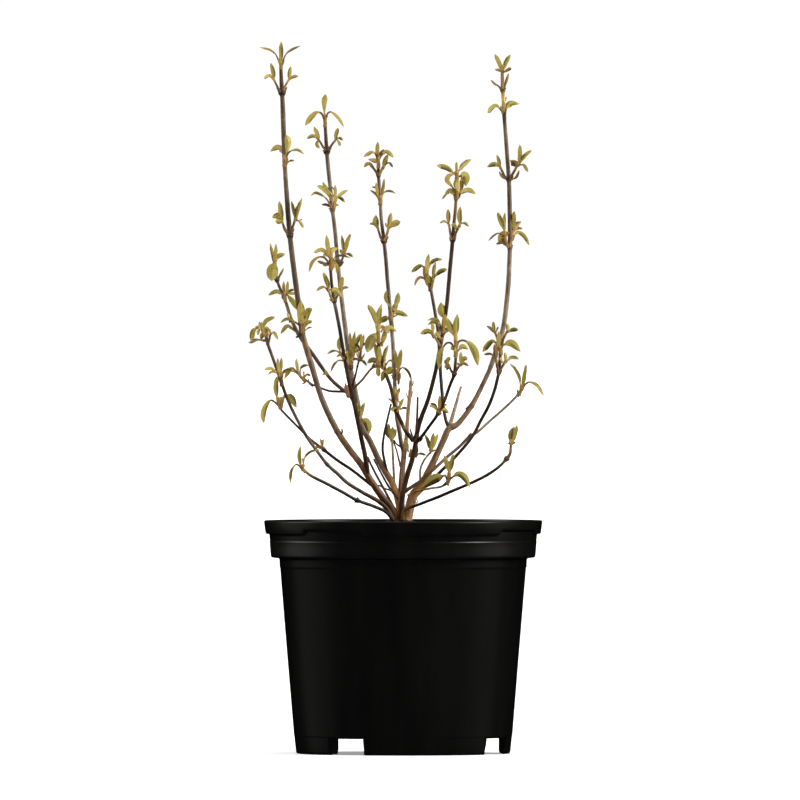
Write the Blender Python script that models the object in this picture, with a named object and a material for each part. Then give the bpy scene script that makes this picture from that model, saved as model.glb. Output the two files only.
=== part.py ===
# Potted beautyberry: a many-stemmed young shrub in a black nursery container.
# Metres, +Z up. The origin is on the container's axis, at the flat pad it stands on.
# The front looks towards -Y.
import bpy
import bmesh
import math
from mathutils import Vector

for ob in list(bpy.data.objects):
    bpy.data.objects.remove(ob, do_unlink=True)

# ---------------------------------------------------------------- driving sizes
CELL = 0.000898          # side of one square of the front layout grid
AXIS_U = 403.1           # grid column of the container's axis
FLOOR_V = 753.4          # grid row of the floor; rows count downwards
GAP = 0.0003             # clearance between neighbouring pieces

RIM_R = 0.1252           # container, outside radii and heights
RIM_TOP = 0.2094
LIP_DEEP = 0.1972        # lower edge of the lip
LIP_HIGH = 0.2009        # lower edge where the lip is relieved
LIP_LOW_R = 0.1238
COLLAR_TOP_R = 0.1204
COLLAR_LOW_R = 0.1188
COLLAR_LOW = 0.1762
BODY_TOP_R = 0.1110
BODY_TOP = 0.1746
FOOT_R = 0.0966
WALL = 0.0020
FLOOR_UNDER = 0.0165     # underside of the raised floor
PAD_R = 0.0200           # flat pad in the middle of the base
PAD_FLARE = 0.0060
DRAIN_H = 0.0142         # drainage notches in the foot ring
DRAIN_HALF = 8.4         # half width in degrees
DRAIN_AT = (-30.3, 58.8, 121.2, 210.3)
RELIEF_HALF = 14.2       # relieved stretches of the lip
RELIEF_AT = (-32.0, 59.5, 149.5, 239.5)

COMPOST_TOP = 0.1895
COMPOST_SWELL = 0.0022

CROWN_AT = (-0.0030, 0.0014)
CROWN_R_LOW = 0.0205
CROWN_R_TOP = 0.0168
CROWN_TOP = 0.2120

STEP = 0.020             # length of one facet along a stem


def at(u, v, depth=0.0):
    """Point of the front layout grid, with its depth in metres."""
    return Vector(((u - AXIS_U) * CELL, depth, (FLOOR_V - v) * CELL))


# ---------------------------------------------------------------- helpers
def material(name, colour, rough, metallic=0.0):
    m = bpy.data.materials.new(name)
    m.use_nodes = True
    b = m.node_tree.nodes["Principled BSDF"]
    b.inputs["Base Color"].default_value = (*colour, 1.0)
    b.inputs["Roughness"].default_value = rough
    b.inputs["Metallic"].default_value = metallic
    m.diffuse_color = (*colour, 1.0)
    return m


def add_object(name, verts, faces, mat, smooth=None):
    me = bpy.data.meshes.new(name)
    me.from_pydata([tuple(v) for v in verts], [], faces)
    bm = bmesh.new()
    bm.from_mesh(me)
    bmesh.ops.recalc_face_normals(bm, faces=bm.faces)
    if bm.calc_volume(signed=True) < 0:
        bmesh.ops.reverse_faces(bm, faces=bm.faces)
    bm.to_mesh(me)
    bm.free()
    if smooth is not None:
        me.shade_smooth()
        me.set_sharp_from_angle(angle=math.radians(smooth))
    me.materials.append(mat)
    ob = bpy.data.objects.new(name, me)
    bpy.context.scene.collection.objects.link(ob)
    return ob


def smooth_path(points, step=STEP):
    """Even points along a centripetal Catmull-Rom curve through the bends."""
    p = [points[0] * 2 - points[1]] + list(points) + [points[-1] * 2 - points[-2]]
    fine = []
    for i in range(1, len(p) - 2):
        a, b, c, d = p[i - 1], p[i], p[i + 1], p[i + 2]
        ta = 0.0
        tb = ta + max((b - a).length, 1e-6) ** 0.5
        tc = tb + max((c - b).length, 1e-6) ** 0.5
        td = tc + max((d - c).length, 1e-6) ** 0.5
        for k in range(24):
            t = tb + (tc - tb) * k / 24
            a1 = a * ((tb - t) / (tb - ta)) + b * ((t - ta) / (tb - ta))
            a2 = b * ((tc - t) / (tc - tb)) + c * ((t - tb) / (tc - tb))
            a3 = c * ((td - t) / (td - tc)) + d * ((t - tc) / (td - tc))
            b1 = a1 * ((tc - t) / (tc - ta)) + a2 * ((t - ta) / (tc - ta))
            b2 = a2 * ((td - t) / (td - tb)) + a3 * ((t - tb) / (td - tb))
            fine.append(b1 * ((tc - t) / (tc - tb)) + b2 * ((t - tb) / (tc - tb)))
    fine.append(points[-1].copy())
    run = [0.0]
    for i in range(1, len(fine)):
        run.append(run[-1] + (fine[i] - fine[i - 1]).length)
    n = max(3, round(run[-1] / step))
    out, j = [], 0
    for k in range(n + 1):
        s = run[-1] * k / n
        while j < len(run) - 2 and run[j + 1] < s:
            j += 1
        f = (s - run[j]) / max(run[j + 1] - run[j], 1e-9)
        out.append(fine[j].lerp(fine[j + 1], min(max(f, 0.0), 1.0)))
    return out


def tube(path, radii, sides, level_foot):
    """A tapering tube with flat ends; its foot is level where it stands on the crown."""
    n = len(path)
    tang = []
    for i in range(n):
        d = path[min(i + 1, n - 1)] - path[max(i - 1, 0)]
        tang.append(d.normalized())
    if level_foot:
        tang[0] = Vector((0, 0, 1))
    side = Vector((0, -1, 0))
    verts, faces = [], []
    for i in range(n):
        side = (side - tang[i] * side.dot(tang[i])).normalized()
        other = tang[i].cross(side)
        for k in range(sides):
            a = 2 * math.pi * k / sides
            verts.append(path[i] + (side * math.cos(a) + other * math.sin(a)) * radii[i])
    for i in range(n - 1):
        for k in range(sides):
            k2 = (k + 1) % sides
            faces.append((i * sides + k, i * sides + k2, (i + 1) * sides + k2, (i + 1) * sides + k))
    faces.append(tuple(reversed(range(sides))))
    faces.append(tuple((n - 1) * sides + k for k in range(sides)))
    return verts, faces


# ---------------------------------------------------------------- materials
POT_BLACK = material("pot_black", (0.012, 0.012, 0.012), 0.42)
COMPOST = material("compost", (0.045, 0.028, 0.018), 0.95)
BARK_DARK = material("bark_dark", (0.055, 0.035, 0.024), 0.7)
BARK_GREY = material("bark_grey", (0.17, 0.12, 0.09), 0.7)
BARK_TAN = material("bark_tan", (0.36, 0.22, 0.13), 0.65)
LEAF = material("leaf", (0.30, 0.27, 0.06), 0.5)

# ---------------------------------------------------------------- container
def in_notch(a, centres, half):
    for c in centres:
        d = (a - c + 180.0) % 360.0 - 180.0
        if abs(d) < half:
            return True
    return False


def container():
    # columns round the axis; two columns stand close together at every notch edge
    angles = [i * 360.0 / 36 for i in range(36)]
    for centres, half in ((DRAIN_AT, DRAIN_HALF), (RELIEF_AT, RELIEF_HALF)):
        for c in centres:
            for e in (-half, half):
                edge = (c + e) % 360.0
                angles = [a for a in angles if abs((a - edge + 180) % 360 - 180) > 1.6]
                angles += [(edge - 0.25) % 360.0, (edge + 0.25) % 360.0]
    angles = sorted(set(round(a, 4) for a in angles))
    rows = None
    verts, faces = [], []
    for a in angles:
        lip = LIP_HIGH if in_notch(a, RELIEF_AT, RELIEF_HALF) else LIP_DEEP
        foot = DRAIN_H if in_notch(a, DRAIN_AT, DRAIN_HALF) else 0.0
        slope = (BODY_TOP_R - FOOT_R) / BODY_TOP
        r_foot = FOOT_R + slope * foot
        collar = COLLAR_LOW_R + (COLLAR_TOP_R - COLLAR_LOW_R) * (lip - COLLAR_LOW) / (LIP_DEEP - COLLAR_LOW)
        rim_low = LIP_LOW_R + (RIM_R - LIP_LOW_R) * (lip - LIP_DEEP) / (RIM_TOP - LIP_DEEP)
        prof = [
            (PAD_R - 0.0, 0.0),                            # pad edge
            (PAD_R + PAD_FLARE, FLOOR_UNDER),              # underside of the floor
            (FOOT_R - WALL - 0.0016, FLOOR_UNDER),
            (r_foot - WALL, foot),                         # foot ring
            (r_foot - 0.0004, foot),
            (r_foot + 0.0004, foot + 0.0016),
            (BODY_TOP_R, BODY_TOP),                        # body
            (COLLAR_LOW_R, COLLAR_LOW),                    # step out to the collar
            (collar, lip),
            (rim_low, lip),                                # lip
            (RIM_R, RIM_TOP - 0.0012),
            (RIM_R - 0.0010, RIM_TOP),
            (COLLAR_TOP_R - WALL, RIM_TOP),
            (COLLAR_LOW_R - WALL, COLLAR_LOW + 0.0016),    # inside
            (BODY_TOP_R - WALL, BODY_TOP),
            (FOOT_R - WALL + slope * (FLOOR_UNDER + WALL), FLOOR_UNDER + WALL),
            (PAD_R + PAD_FLARE - WALL * 0.6, FLOOR_UNDER + WALL),
            (PAD_R - WALL * 0.6, WALL),
        ]
        rows = len(prof)
        t = math.radians(a)
        for r, z in prof:
            verts.append((r * math.sin(t), -r * math.cos(t), z))
    n = len(angles)
    for i in range(n):
        j = (i + 1) % n
        for k in range(rows - 1):
            faces.append((i * rows + k, j * rows + k, j * rows + k + 1, i * rows + k + 1))
    faces.append(tuple(i * rows for i in range(n)))                   # pad, below
    faces.append(tuple(i * rows + rows - 1 for i in reversed(range(n))))  # pad, above
    return add_object("pot", verts, faces, POT_BLACK, smooth=35)


container()


# ---------------------------------------------------------------- compost
def compost():
    sides = 36
    slope = (BODY_TOP_R - FOOT_R) / BODY_TOP
    lo = FLOOR_UNDER + WALL + GAP
    rings = [
        (PAD_R - WALL * 0.6 - GAP * 2, WALL + GAP),
        (PAD_R + PAD_FLARE - WALL * 0.6 - GAP * 3, lo),
        (FOOT_R - WALL - GAP * 2 + slope * lo, lo),
        (BODY_TOP_R - WALL - GAP * 4, BODY_TOP),
        (COLLAR_LOW_R - WALL - GAP * 4, COLLAR_LOW + 0.0028),
        (COLLAR_LOW_R - WALL - GAP, COMPOST_TOP),
    ]
    verts, faces = [], []
    for r, z in rings:
        for k in range(sides):
            a = 2 * math.pi * k / sides
            verts.append((r * math.cos(a), r * math.sin(a), z))
    top_rings = (0.080, 0.045, 0.026)
    for i, r in enumerate(top_rings):
        for k in range(sides):
            a = 2 * math.pi * k / sides
            z = COMPOST_TOP
            if r > CROWN_R_LOW + 0.015:
                z += COMPOST_SWELL * (0.5 + 0.5 * math.sin(3 * a + 1.3 * i) * math.cos(5 * a + i))
            verts.append((r * math.cos(a), r * math.sin(a), z))
    n = len(rings) + len(top_rings)
    for i in range(n - 1):
        for k in range(sides):
            k2 = (k + 1) % sides
            faces.append((i * sides + k, i * sides + k2, (i + 1) * sides + k2, (i + 1) * sides + k))
    faces.append(tuple(reversed(range(sides))))
    faces.append(tuple((n - 1) * sides + k for k in range(sides)))
    return add_object("compost", verts, faces, COMPOST, smooth=30)


compost()


# ---------------------------------------------------------------- crown: the short woody base
def crown():
    sides, levels = 14, 5
    verts, faces = [], []
    base = COMPOST_TOP + GAP
    for i in range(levels + 1):
        f = i / levels
        flare = (1 - f) ** 2.2
        for k in range(sides):
            a = 2 * math.pi * k / sides
            r = CROWN_R_TOP + (CROWN_R_LOW - CROWN_R_TOP) * flare
            r *= 1 + 0.07 * math.sin(3 * a + 2 * f) + 0.05 * math.cos(5 * a - 3 * f)
            verts.append((CROWN_AT[0] + r * math.cos(a), CROWN_AT[1] + r * math.sin(a),
                          base + (CROWN_TOP - GAP - base) * f))
    for i in range(levels):
        for k in range(sides):
            k2 = (k + 1) % sides
            faces.append((i * sides + k, i * sides + k2, (i + 1) * sides + k2, (i + 1) * sides + k))
    faces.append(tuple(reversed(range(sides))))
    faces.append(tuple(levels * sides + k for k in range(sides)))
    return add_object("crown_base", verts, faces, BARK_DARK, smooth=50)


crown()
CROWN_V = FLOOR_V - CROWN_TOP / CELL

# ---------------------------------------------------------------- stems
# name: (parent or None, foot radius, tip radius, sides, bark, bends)
# A bend is a grid column, a grid row and a depth in millimetres, foot first.
STEMS = {
    "stem_tall_left": (None, 2.7, 1.5, 8, BARK_GREY, (
        (394.2, CROWN_V, -1.4), (371.6, 480.6, -5), (338, 430.6, -9), (313.2, 364, -13), (297, 293, -18), (285, 166, -30), (281, 67, -40))),
    "stem_right_tall": (None, 3.9, 1.4, 8, BARK_TAN, (
        (409.6, CROWN_V, -0.2), (421, 485, 0), (449.5, 426.5, 10), (482.4, 385, 24), (500, 337, 38), (509.2, 262, 50), (507, 161, 58), (502.4, 79, 62))),
    "stem_fork": (None, 2.6, 1.4, 8, BARK_GREY, (
        (398.8, CROWN_V, 4.6), (384, 468, 4), (362, 427, 6), (350, 365, 10), (339.5, 272, 18), (330, 185, 26), (325, 124, 32))),
    "stem_centre_left": (None, 2.0, 1.5, 8, BARK_GREY, (
        (401.8, CROWN_V, 10.2), (401.2, 476, 12), (399, 431, 17), (394, 372, 28), (388.6, 295, 44), (381.8, 225, 58), (378.6, 172, 68))),
    "stem_centre_right": (None, 2.4, 1.4, 8, BARK_DARK, (
        (402.4, CROWN_V, -4.4), (406, 476, -5), (414.5, 439, -9), (431, 382, -17), (446.7, 305, -26), (453.2, 236, -33), (457, 198, -38))),
    "stem_low_left": (None, 1.9, 1.3, 6, BARK_DARK, (
        (391.0, CROWN_V, -6.6), (381, 502, -9.5), (362, 492, -13), (328, 464, -20), (299, 422, -28), (281, 380, -36), (268, 343, -44))),
    "stem_basal_left": (None, 1.4, 1.0, 6, BARK_DARK, (
        (392.0, CROWN_V, -11.4), (383, 511.5, -18), (357, 500.5, -32), (327, 483, -52), (303.5, 469, -72))),
    "stem_right_dark": (None, 1.5, 1.2, 6, BARK_DARK, (
        (407.0, CROWN_V, 8.4), (425, 487, 12), (455, 458, 15), (481, 420, 16), (493.7, 392, 16), (499, 372, 15), (500.6, 352, 14))),
    "stem_right_slant": ("stem_centre_right", 1.4, 0.8, 6, BARK_GREY, (
        (404.6, 491.6, -4.8), (413.5, 485.8, -5.8), (421.4, 480.2, -7.4), (434, 469, -8), (447, 457.4, 3), (460, 446, 20), (475.5, 433.4, 27), (490.5, 420, 38), (520.4, 391, 52))),
    "stem_basal_right": (None, 1.4, 1.0, 6, BARK_DARK, (
        (403.6, CROWN_V, -9.6), (420, 504, -14), (453, 490.6, -24), (487, 475, -36), (505.5, 459.5, -44), (511, 445.5, -48))),
    "bough_front_left": ("stem_tall_left", 1.9, 1.3, 6, BARK_DARK, (
        (367.5, 474, -6), (363, 452, -12), (355, 408, -26), (343, 351, -48), (334, 300, -64), (330.2, 266, -74))),
    "bough_low_left": ("stem_tall_left", 1.5, 1.0, 6, BARK_DARK, (
        (371, 484, -5), (352, 470, 0), (324, 450, 8), (299, 428, 15), (281.5, 410, 22))),
    "bough_fork_left": ("stem_fork", 1.5, 1.1, 6, BARK_DARK, (
        (360.5, 421, 6), (352, 403, 5), (344, 390, 6), (324, 370, 14), (299, 335, 32), (285, 300, 46), (276.8, 279, 54))),
    "bough_knob_left": ("stem_centre_right", 1.8, 1.2, 6, BARK_DARK, (
        (414.0, 441.5, -9), (405, 430, -14), (395, 408, -26), (386.5, 377, -42), (379.6, 347, -58))),
    "bough_knob_right": ("stem_centre_right", 1.5, 1.1, 6, BARK_DARK, (
        (414.5, 441.0, -9), (429, 425, -22), (444.7, 400, -44), (454.4, 374, -62), (456, 354, -72))),
    "bough_tall_fork": ("stem_right_tall", 1.3, 0.9, 6, BARK_DARK, (
        (449.5, 429, 10), (443.7, 407.6, 14), (440.6, 372, 22), (435.5, 316, 38), (430.4, 290, 46))),
    "twig_front_right": ("stem_right_tall", 1.2, 0.9, 6, BARK_DARK, (
        (413.5, 499, -1), (420, 490.3, -12), (431, 488.6, -26), (442, 486.2, -40), (447.2, 482.6, -46))),
}


def flare(i, n, r):
    """Root flare: the first facets above the foot swell."""
    return r * (1 + 0.22 * math.exp(-2.2 * i))


LIMBS = {}
for name, (parent, r0, r1, sides, bark, bends) in STEMS.items():
    path = smooth_path([at(u, v, d * 0.001) for u, v, d in bends])
    if parent is None:
        path[0].z = CROWN_TOP
    n = len(path)
    radii = [0.001 * (r0 + (r1 - r0) * (i / (n - 1)) ** 0.9) for i in range(n)]
    if parent is None:
        radii = [flare(i, n, r) if r0 < 3 else r for i, r in enumerate(radii)]
    LIMBS[name] = (path, radii, sides)
    verts, faces = tube(path, radii, sides, parent is None)
    add_object(name, verts, faces, bark, smooth=50)

# fattened copies of the limbs cut the pieces that meet them
CUTTERS = {}
for name, (path, radii, sides) in LIMBS.items():
    run = [p.copy() for p in path]
    first = (run[0] - run[1]).normalized()
    last = (run[-1] - run[-2]).normalized()
    run[0] = run[0] + first * GAP
    run[-1] = run[-1] + last * (GAP + 0.0002)
    verts, faces = tube(run, [r / math.cos(math.pi / sides) + GAP for r in radii], sides, False)
    ob = add_object("cut_" + name, verts, faces, BARK_DARK)
    ob.hide_render = True
    ob.display_type = "WIRE"
    CUTTERS[name] = ob


def cut(ob, cutter):
    m = ob.modifiers.new("cut_" + cutter.name, "BOOLEAN")
    m.operation = "DIFFERENCE"
    m.solver = "EXACT"
    m.object = cutter


for name, spec in STEMS.items():
    if spec[0]:
        cut(bpy.data.objects[name], CUTTERS[spec[0]])

# ---------------------------------------------------------------- masses of young leaves
# name: (limb, column, row of the node, heart radius in mm, leaf ends as column and row)
# The depth of the node is the limb's own depth there. Leaf ends lie alternately a little
# in front of and behind the limb, and two more lobes close the mass to front and back.
MASSES = {
    "leaves_tall_left_tip": ("stem_tall_left", 281, 61, 2.6, ((281, 42), (260, 47.5), (300, 46))),
    "leaves_tall_left_2": ("stem_tall_left", 281.5, 84, 4.2, ((271, 63.5), (264.5, 77.5), (291, 66.5), (298, 75.5))),
    "leaves_tall_left_3": ("stem_tall_left", 285, 156, 4.4, ((286.5, 135), (271, 151), (303, 153.5))),
    "leaves_tall_left_4": ("stem_tall_left", 289.3, 226, 4.6, ((280, 202), (273.5, 217), (301, 199), (302.5, 226.5))),
    "leaves_tall_left_5": ("stem_tall_left", 302.5, 323, 5.4, ((301.5, 301), (311, 309), (282, 322), (282, 333), (311, 321))),
    "leaves_fork_left_tip": ("bough_fork_left", 275, 266, 4.2, ((270.5, 244), (276.2, 244), (284.5, 253.5), (271.7, 280))),
    "leaves_fork_left_2": ("bough_fork_left", 284.3, 295, 4.0, ((284.3, 282), (269, 294.7), (297.5, 309))),
    "leaves_low_left_tip": ("stem_low_left", 265, 335, 3.8, ((274.5, 318), (252.3, 339), (249.5, 342), (277.5, 339), (259.6, 322.5))),
    "leaves_low_left_2": ("stem_low_left", 279.5, 375, 4.4, ((278, 359), (265, 369.7), (293.5, 370.5))),
    "leaves_slant_left_tip": ("bough_low_left", 280, 406, 3.2, ((277, 377), (263.7, 422), (296.3, 407))),
    "leaves_basal_left_tip": ("stem_basal_left", 302, 465.5, 2.4, ((300.7, 446.5), (290.8, 483), (317, 450.3))),
    "leaves_front_left_tip": ("bough_front_left", 330, 258, 4.4, ((327, 236.5), (314.5, 251.7), (309.5, 271), (350, 258), (337, 272.5))),
    "leaves_front_left_2": ("bough_front_left", 333, 293, 4.2, ((324.5, 273.5), (317.8, 289.8), (342, 278), (348, 287.7))),
    "leaves_front_left_3": ("bough_front_left", 342.5, 354, 4.0, ((339.5, 337.5), (328, 353.5), (331.5, 370.5))),
    "leaves_fork_tip": ("stem_fork", 325, 118, 2.8, ((325.6, 95.5), (306, 124.5), (343.3, 126))),
    "leaves_fork_2": ("stem_fork", 327, 144, 4.2, ((314.7, 127.5), (307.5, 138.6), (338, 129), (342.4, 140))),
    "leaves_fork_3": ("stem_fork", 331.7, 201, 4.6, ((323.4, 183), (312, 195.7), (347.2, 190.5), (335.6, 186))),
    "leaves_fork_4": ("stem_fork", 340.5, 257, 3.9, ((342.3, 236), (350.5, 235), (352.5, 255.7))),
    "leaves_fork_5": ("stem_fork", 350.5, 356, 4.4, ((350.7, 333.5), (354.8, 332.5), (359.4, 336.2))),
    "leaves_centre_left_tip": ("stem_centre_left", 378.3, 163, 4.4, ((377.7, 143), (365, 156.5), (392.6, 156.6), (365, 166.5), (392.3, 166.7))),
    "leaves_centre_left_2": ("stem_centre_left", 380, 194, 4.0, ((384, 179.3), (370.8, 190), (395.2, 192.7))),
    "leaves_centre_left_3": ("stem_centre_left", 383, 231, 4.2, ((376.2, 215.3), (370, 223), (390.9, 213.2), (399.5, 221.3))),
    "leaves_centre_left_4": ("stem_centre_left", 391, 314, 4.8, ((387, 291), (398.3, 293.5), (407, 315.7), (380.5, 321.7))),
    "leaves_centre_left_5": ("stem_centre_left", 396, 370, 3.8, ((395.4, 351), (401.2, 350.5), (411.6, 380.5))),
    "leaves_knob_left_tip": ("bough_knob_left", 379, 338, 4.2, ((368.6, 305.5), (381.4, 304.5), (367.8, 350.5), (395.5, 331))),
    "leaves_knob_left_2": ("bough_knob_left", 383, 364, 4.2, ((368, 363), (378.8, 375.5), (387.3, 346.3), (391, 370))),
    "leaves_centre_right_tip": ("stem_centre_right", 457, 186, 4.0, ((456.4, 162.5), (438, 166), (470.5, 160), (467, 185), (443, 198.5), (474.6, 193.6))),
    "leaves_centre_right_2": ("stem_centre_right", 453.3, 229, 4.0, ((448, 210), (440.3, 222.7), (460.3, 207.5), (468.5, 226.3))),
    "leaves_centre_right_3": ("stem_centre_right", 443.5, 327, 4.8, ((440.5, 303), (428.5, 321.5), (421, 333.3), (452.5, 331.3))),
    "leaves_tall_fork_tip": ("bough_tall_fork", 429.3, 283, 4.4, ((428.3, 255), (412, 271.7), (415.3, 285.6), (441.3, 259.5), (446.2, 269.7))),
    "leaves_knob_right_tip": ("bough_knob_right", 455.3, 347, 4.0, ((447.2, 317.8), (457.4, 314.8), (439.6, 368.5), (477.6, 364.5), (467.5, 348.8))),
    "leaves_right_tall_tip": ("stem_right_tall", 502.4, 74, 2.8, ((495.7, 55.6), (510.5, 55.8), (495.6, 69.7), (510.2, 68.2))),
    "leaves_right_tall_2": ("stem_right_tall", 503.6, 103, 4.4, ((492, 81.5), (509.3, 74.5), (488.8, 112), (518.6, 103.6))),
    "leaves_right_tall_3": ("stem_right_tall", 508.6, 171, 4.6, ((497, 155.5), (487.5, 166.7), (519.3, 145.7), (530.8, 150.6), (527.7, 171))),
    "leaves_right_tall_4": ("stem_right_tall", 509.6, 238, 5.0, ((498.6, 213.3), (489.3, 240.3), (514.4, 212), (521.5, 224), (528.6, 244.4))),
    "leaves_right_dark_tip": ("stem_right_dark", 500, 352, 5.0, ((487.8, 326.3), (493.6, 322.2), (517.5, 329.5), (483.8, 351.3), (521.3, 351))),
    "leaves_slant_right_tip": ("stem_right_slant", 521, 388, 2.4, ((510.8, 364.5), (526.2, 365.6), (543.5, 394.8))),
    "leaves_basal_right_tip": ("stem_basal_right", 511.2, 441.5, 2.6, ((516.8, 425.5), (508.4, 443), (515, 441.7))),
    "leaves_front_right_tip": ("twig_front_right", 448.5, 479, 3.4, ((444.2, 456), (453.8, 455.4), (421.5, 488), (468.7, 486.6))),
}


def depth_on(limb, v):
    """Depth of a limb where it crosses a grid row, or at its tip when the row is beyond."""
    path = LIMBS[limb][0]
    z = (FLOOR_V - v) * CELL
    if z >= path[-1].z:
        return path[-1].y
    best = path[-1].y
    for p, q in zip(path, path[1:]):
        lo, hi = min(p.z, q.z), max(p.z, q.z)
        if lo <= z <= hi and hi > lo:
            best = p.y + (q.y - p.y) * (z - p.z) / (q.z - p.z)
    return best


def leaf_mass(name, limb, u, v, heart, ends, turn):
    """A closed lobed solid round one node: a small heart with a pointed lobe for each leaf."""
    d = depth_on(limb, v)
    centre = at(u, v, d)
    lobes = []
    mean = 0.0
    for i, (eu, ev) in enumerate(ends):
        tip = at(eu, ev, d) - centre
        reach = tip.length
        mean += reach / len(ends)
        tip.y += (0.34 if (i + turn) % 2 else -0.34) * reach
        lobes.append((tip.normalized(), tip.length))
    for s in (-1, 1):
        t = Vector((0.25 * s * (1 if turn % 2 else -1), s * 1.0, 0.55))
        lobes.append((t.normalized(), mean * (0.95 if s < 0 else 0.88)))
    heart *= 0.001
    dirs, dist = [], []
    for t, reach in lobes:
        a = t.orthogonal().normalized()
        b = t.cross(a)
        dirs.append(t)
        dist.append(reach)
        for k in range(3):
            ang = math.pi * 2 / 3 * k + 0.4
            out = a * math.cos(ang) + b * math.sin(ang)
            mid = t * (0.58 * reach) + out * (0.0019 + 0.06 * reach)
            dirs.append(mid.normalized())
            dist.append(mid.length)
    golden = math.pi * (3 - math.sqrt(5))
    for k in range(18):
        z = 1 - 2 * (k + 0.5) / 18
        r = math.sqrt(1 - z * z)
        p = Vector((r * math.cos(golden * k), r * math.sin(golden * k), z))
        if min(p.angle(q) for q in dirs[:len(lobes) * 4]) > math.radians(24):
            dirs.append(p)
            dist.append(heart * (1 + 0.12 * math.sin(3.1 * k + turn)))
    keep = []
    for i, p in enumerate(dirs):
        if all(p.angle(dirs[j]) > math.radians(4.0) for j in keep):
            keep.append(i)
    bm = bmesh.new()
    vs = [bm.verts.new(dirs[i]) for i in keep]
    bmesh.ops.convex_hull(bm, input=vs, use_existing_faces=False)
    bm.verts.ensure_lookup_table()
    lone = [w for w in bm.verts if not w.link_faces]
    if lone:
        bmesh.ops.delete(bm, geom=lone, context="VERTS")
    bm.verts.ensure_lookup_table()
    for w in bm.verts:
        i = min(keep, key=lambda j: (dirs[j] - w.co).length_squared)
        w.co = centre + dirs[i] * dist[i]
    bmesh.ops.triangulate(bm, faces=bm.faces)
    bmesh.ops.recalc_face_normals(bm, faces=bm.faces)
    me = bpy.data.meshes.new(name)
    bm.to_mesh(me)
    bm.free()
    me.materials.append(LEAF)
    ob = bpy.data.objects.new(name, me)
    bpy.context.scene.collection.objects.link(ob)
    # openings for every limb that runs through the mass
    span = max(dist) + 0.004
    for other, (path, radii, sides) in LIMBS.items():
        near = min((p.lerp(q, k / 6) - centre).length for p, q in zip(path, path[1:]) for k in range(7))
        if near < span:
            cut(ob, CUTTERS[other])
    return ob


for turn, (name, (limb, u, v, heart, ends)) in enumerate(MASSES.items()):
    leaf_mass(name, limb, u, v, heart, ends, turn)
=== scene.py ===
import bpy
import bmesh
import math
import random
import numpy as np
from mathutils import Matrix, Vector, noise


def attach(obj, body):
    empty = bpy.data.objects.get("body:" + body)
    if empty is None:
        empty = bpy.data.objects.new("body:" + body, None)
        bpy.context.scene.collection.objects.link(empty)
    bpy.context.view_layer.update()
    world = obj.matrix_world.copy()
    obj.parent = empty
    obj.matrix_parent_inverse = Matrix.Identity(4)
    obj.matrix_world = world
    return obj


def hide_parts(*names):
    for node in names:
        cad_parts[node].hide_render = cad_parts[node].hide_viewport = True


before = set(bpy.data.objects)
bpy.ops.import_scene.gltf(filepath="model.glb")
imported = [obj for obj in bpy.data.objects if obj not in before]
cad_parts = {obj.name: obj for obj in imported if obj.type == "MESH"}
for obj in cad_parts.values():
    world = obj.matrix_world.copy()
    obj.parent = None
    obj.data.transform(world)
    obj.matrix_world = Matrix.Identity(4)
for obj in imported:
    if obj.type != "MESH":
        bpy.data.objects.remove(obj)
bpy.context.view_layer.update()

# ---------------------------------------------------------------- layout
# The plant is laid out on the same front grid as its solids: column u, row v, and a depth in mm.
CELL = 0.000898
AXIS_U = 403.1
FLOOR_V = 753.4
EYE = Vector((-0.0028, -18.0, 0.398))
AIM_Z = 0.3174


def at(u, v, depth):
    """Point that is seen at a grid column and row, at a depth in millimetres."""
    d = depth * 0.001
    flat = Vector(((u - AXIS_U) * CELL, 0.0, (FLOOR_V - v) * CELL))
    return EYE + (flat - EYE) * ((18.0 + d) / 18.0)


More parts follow.
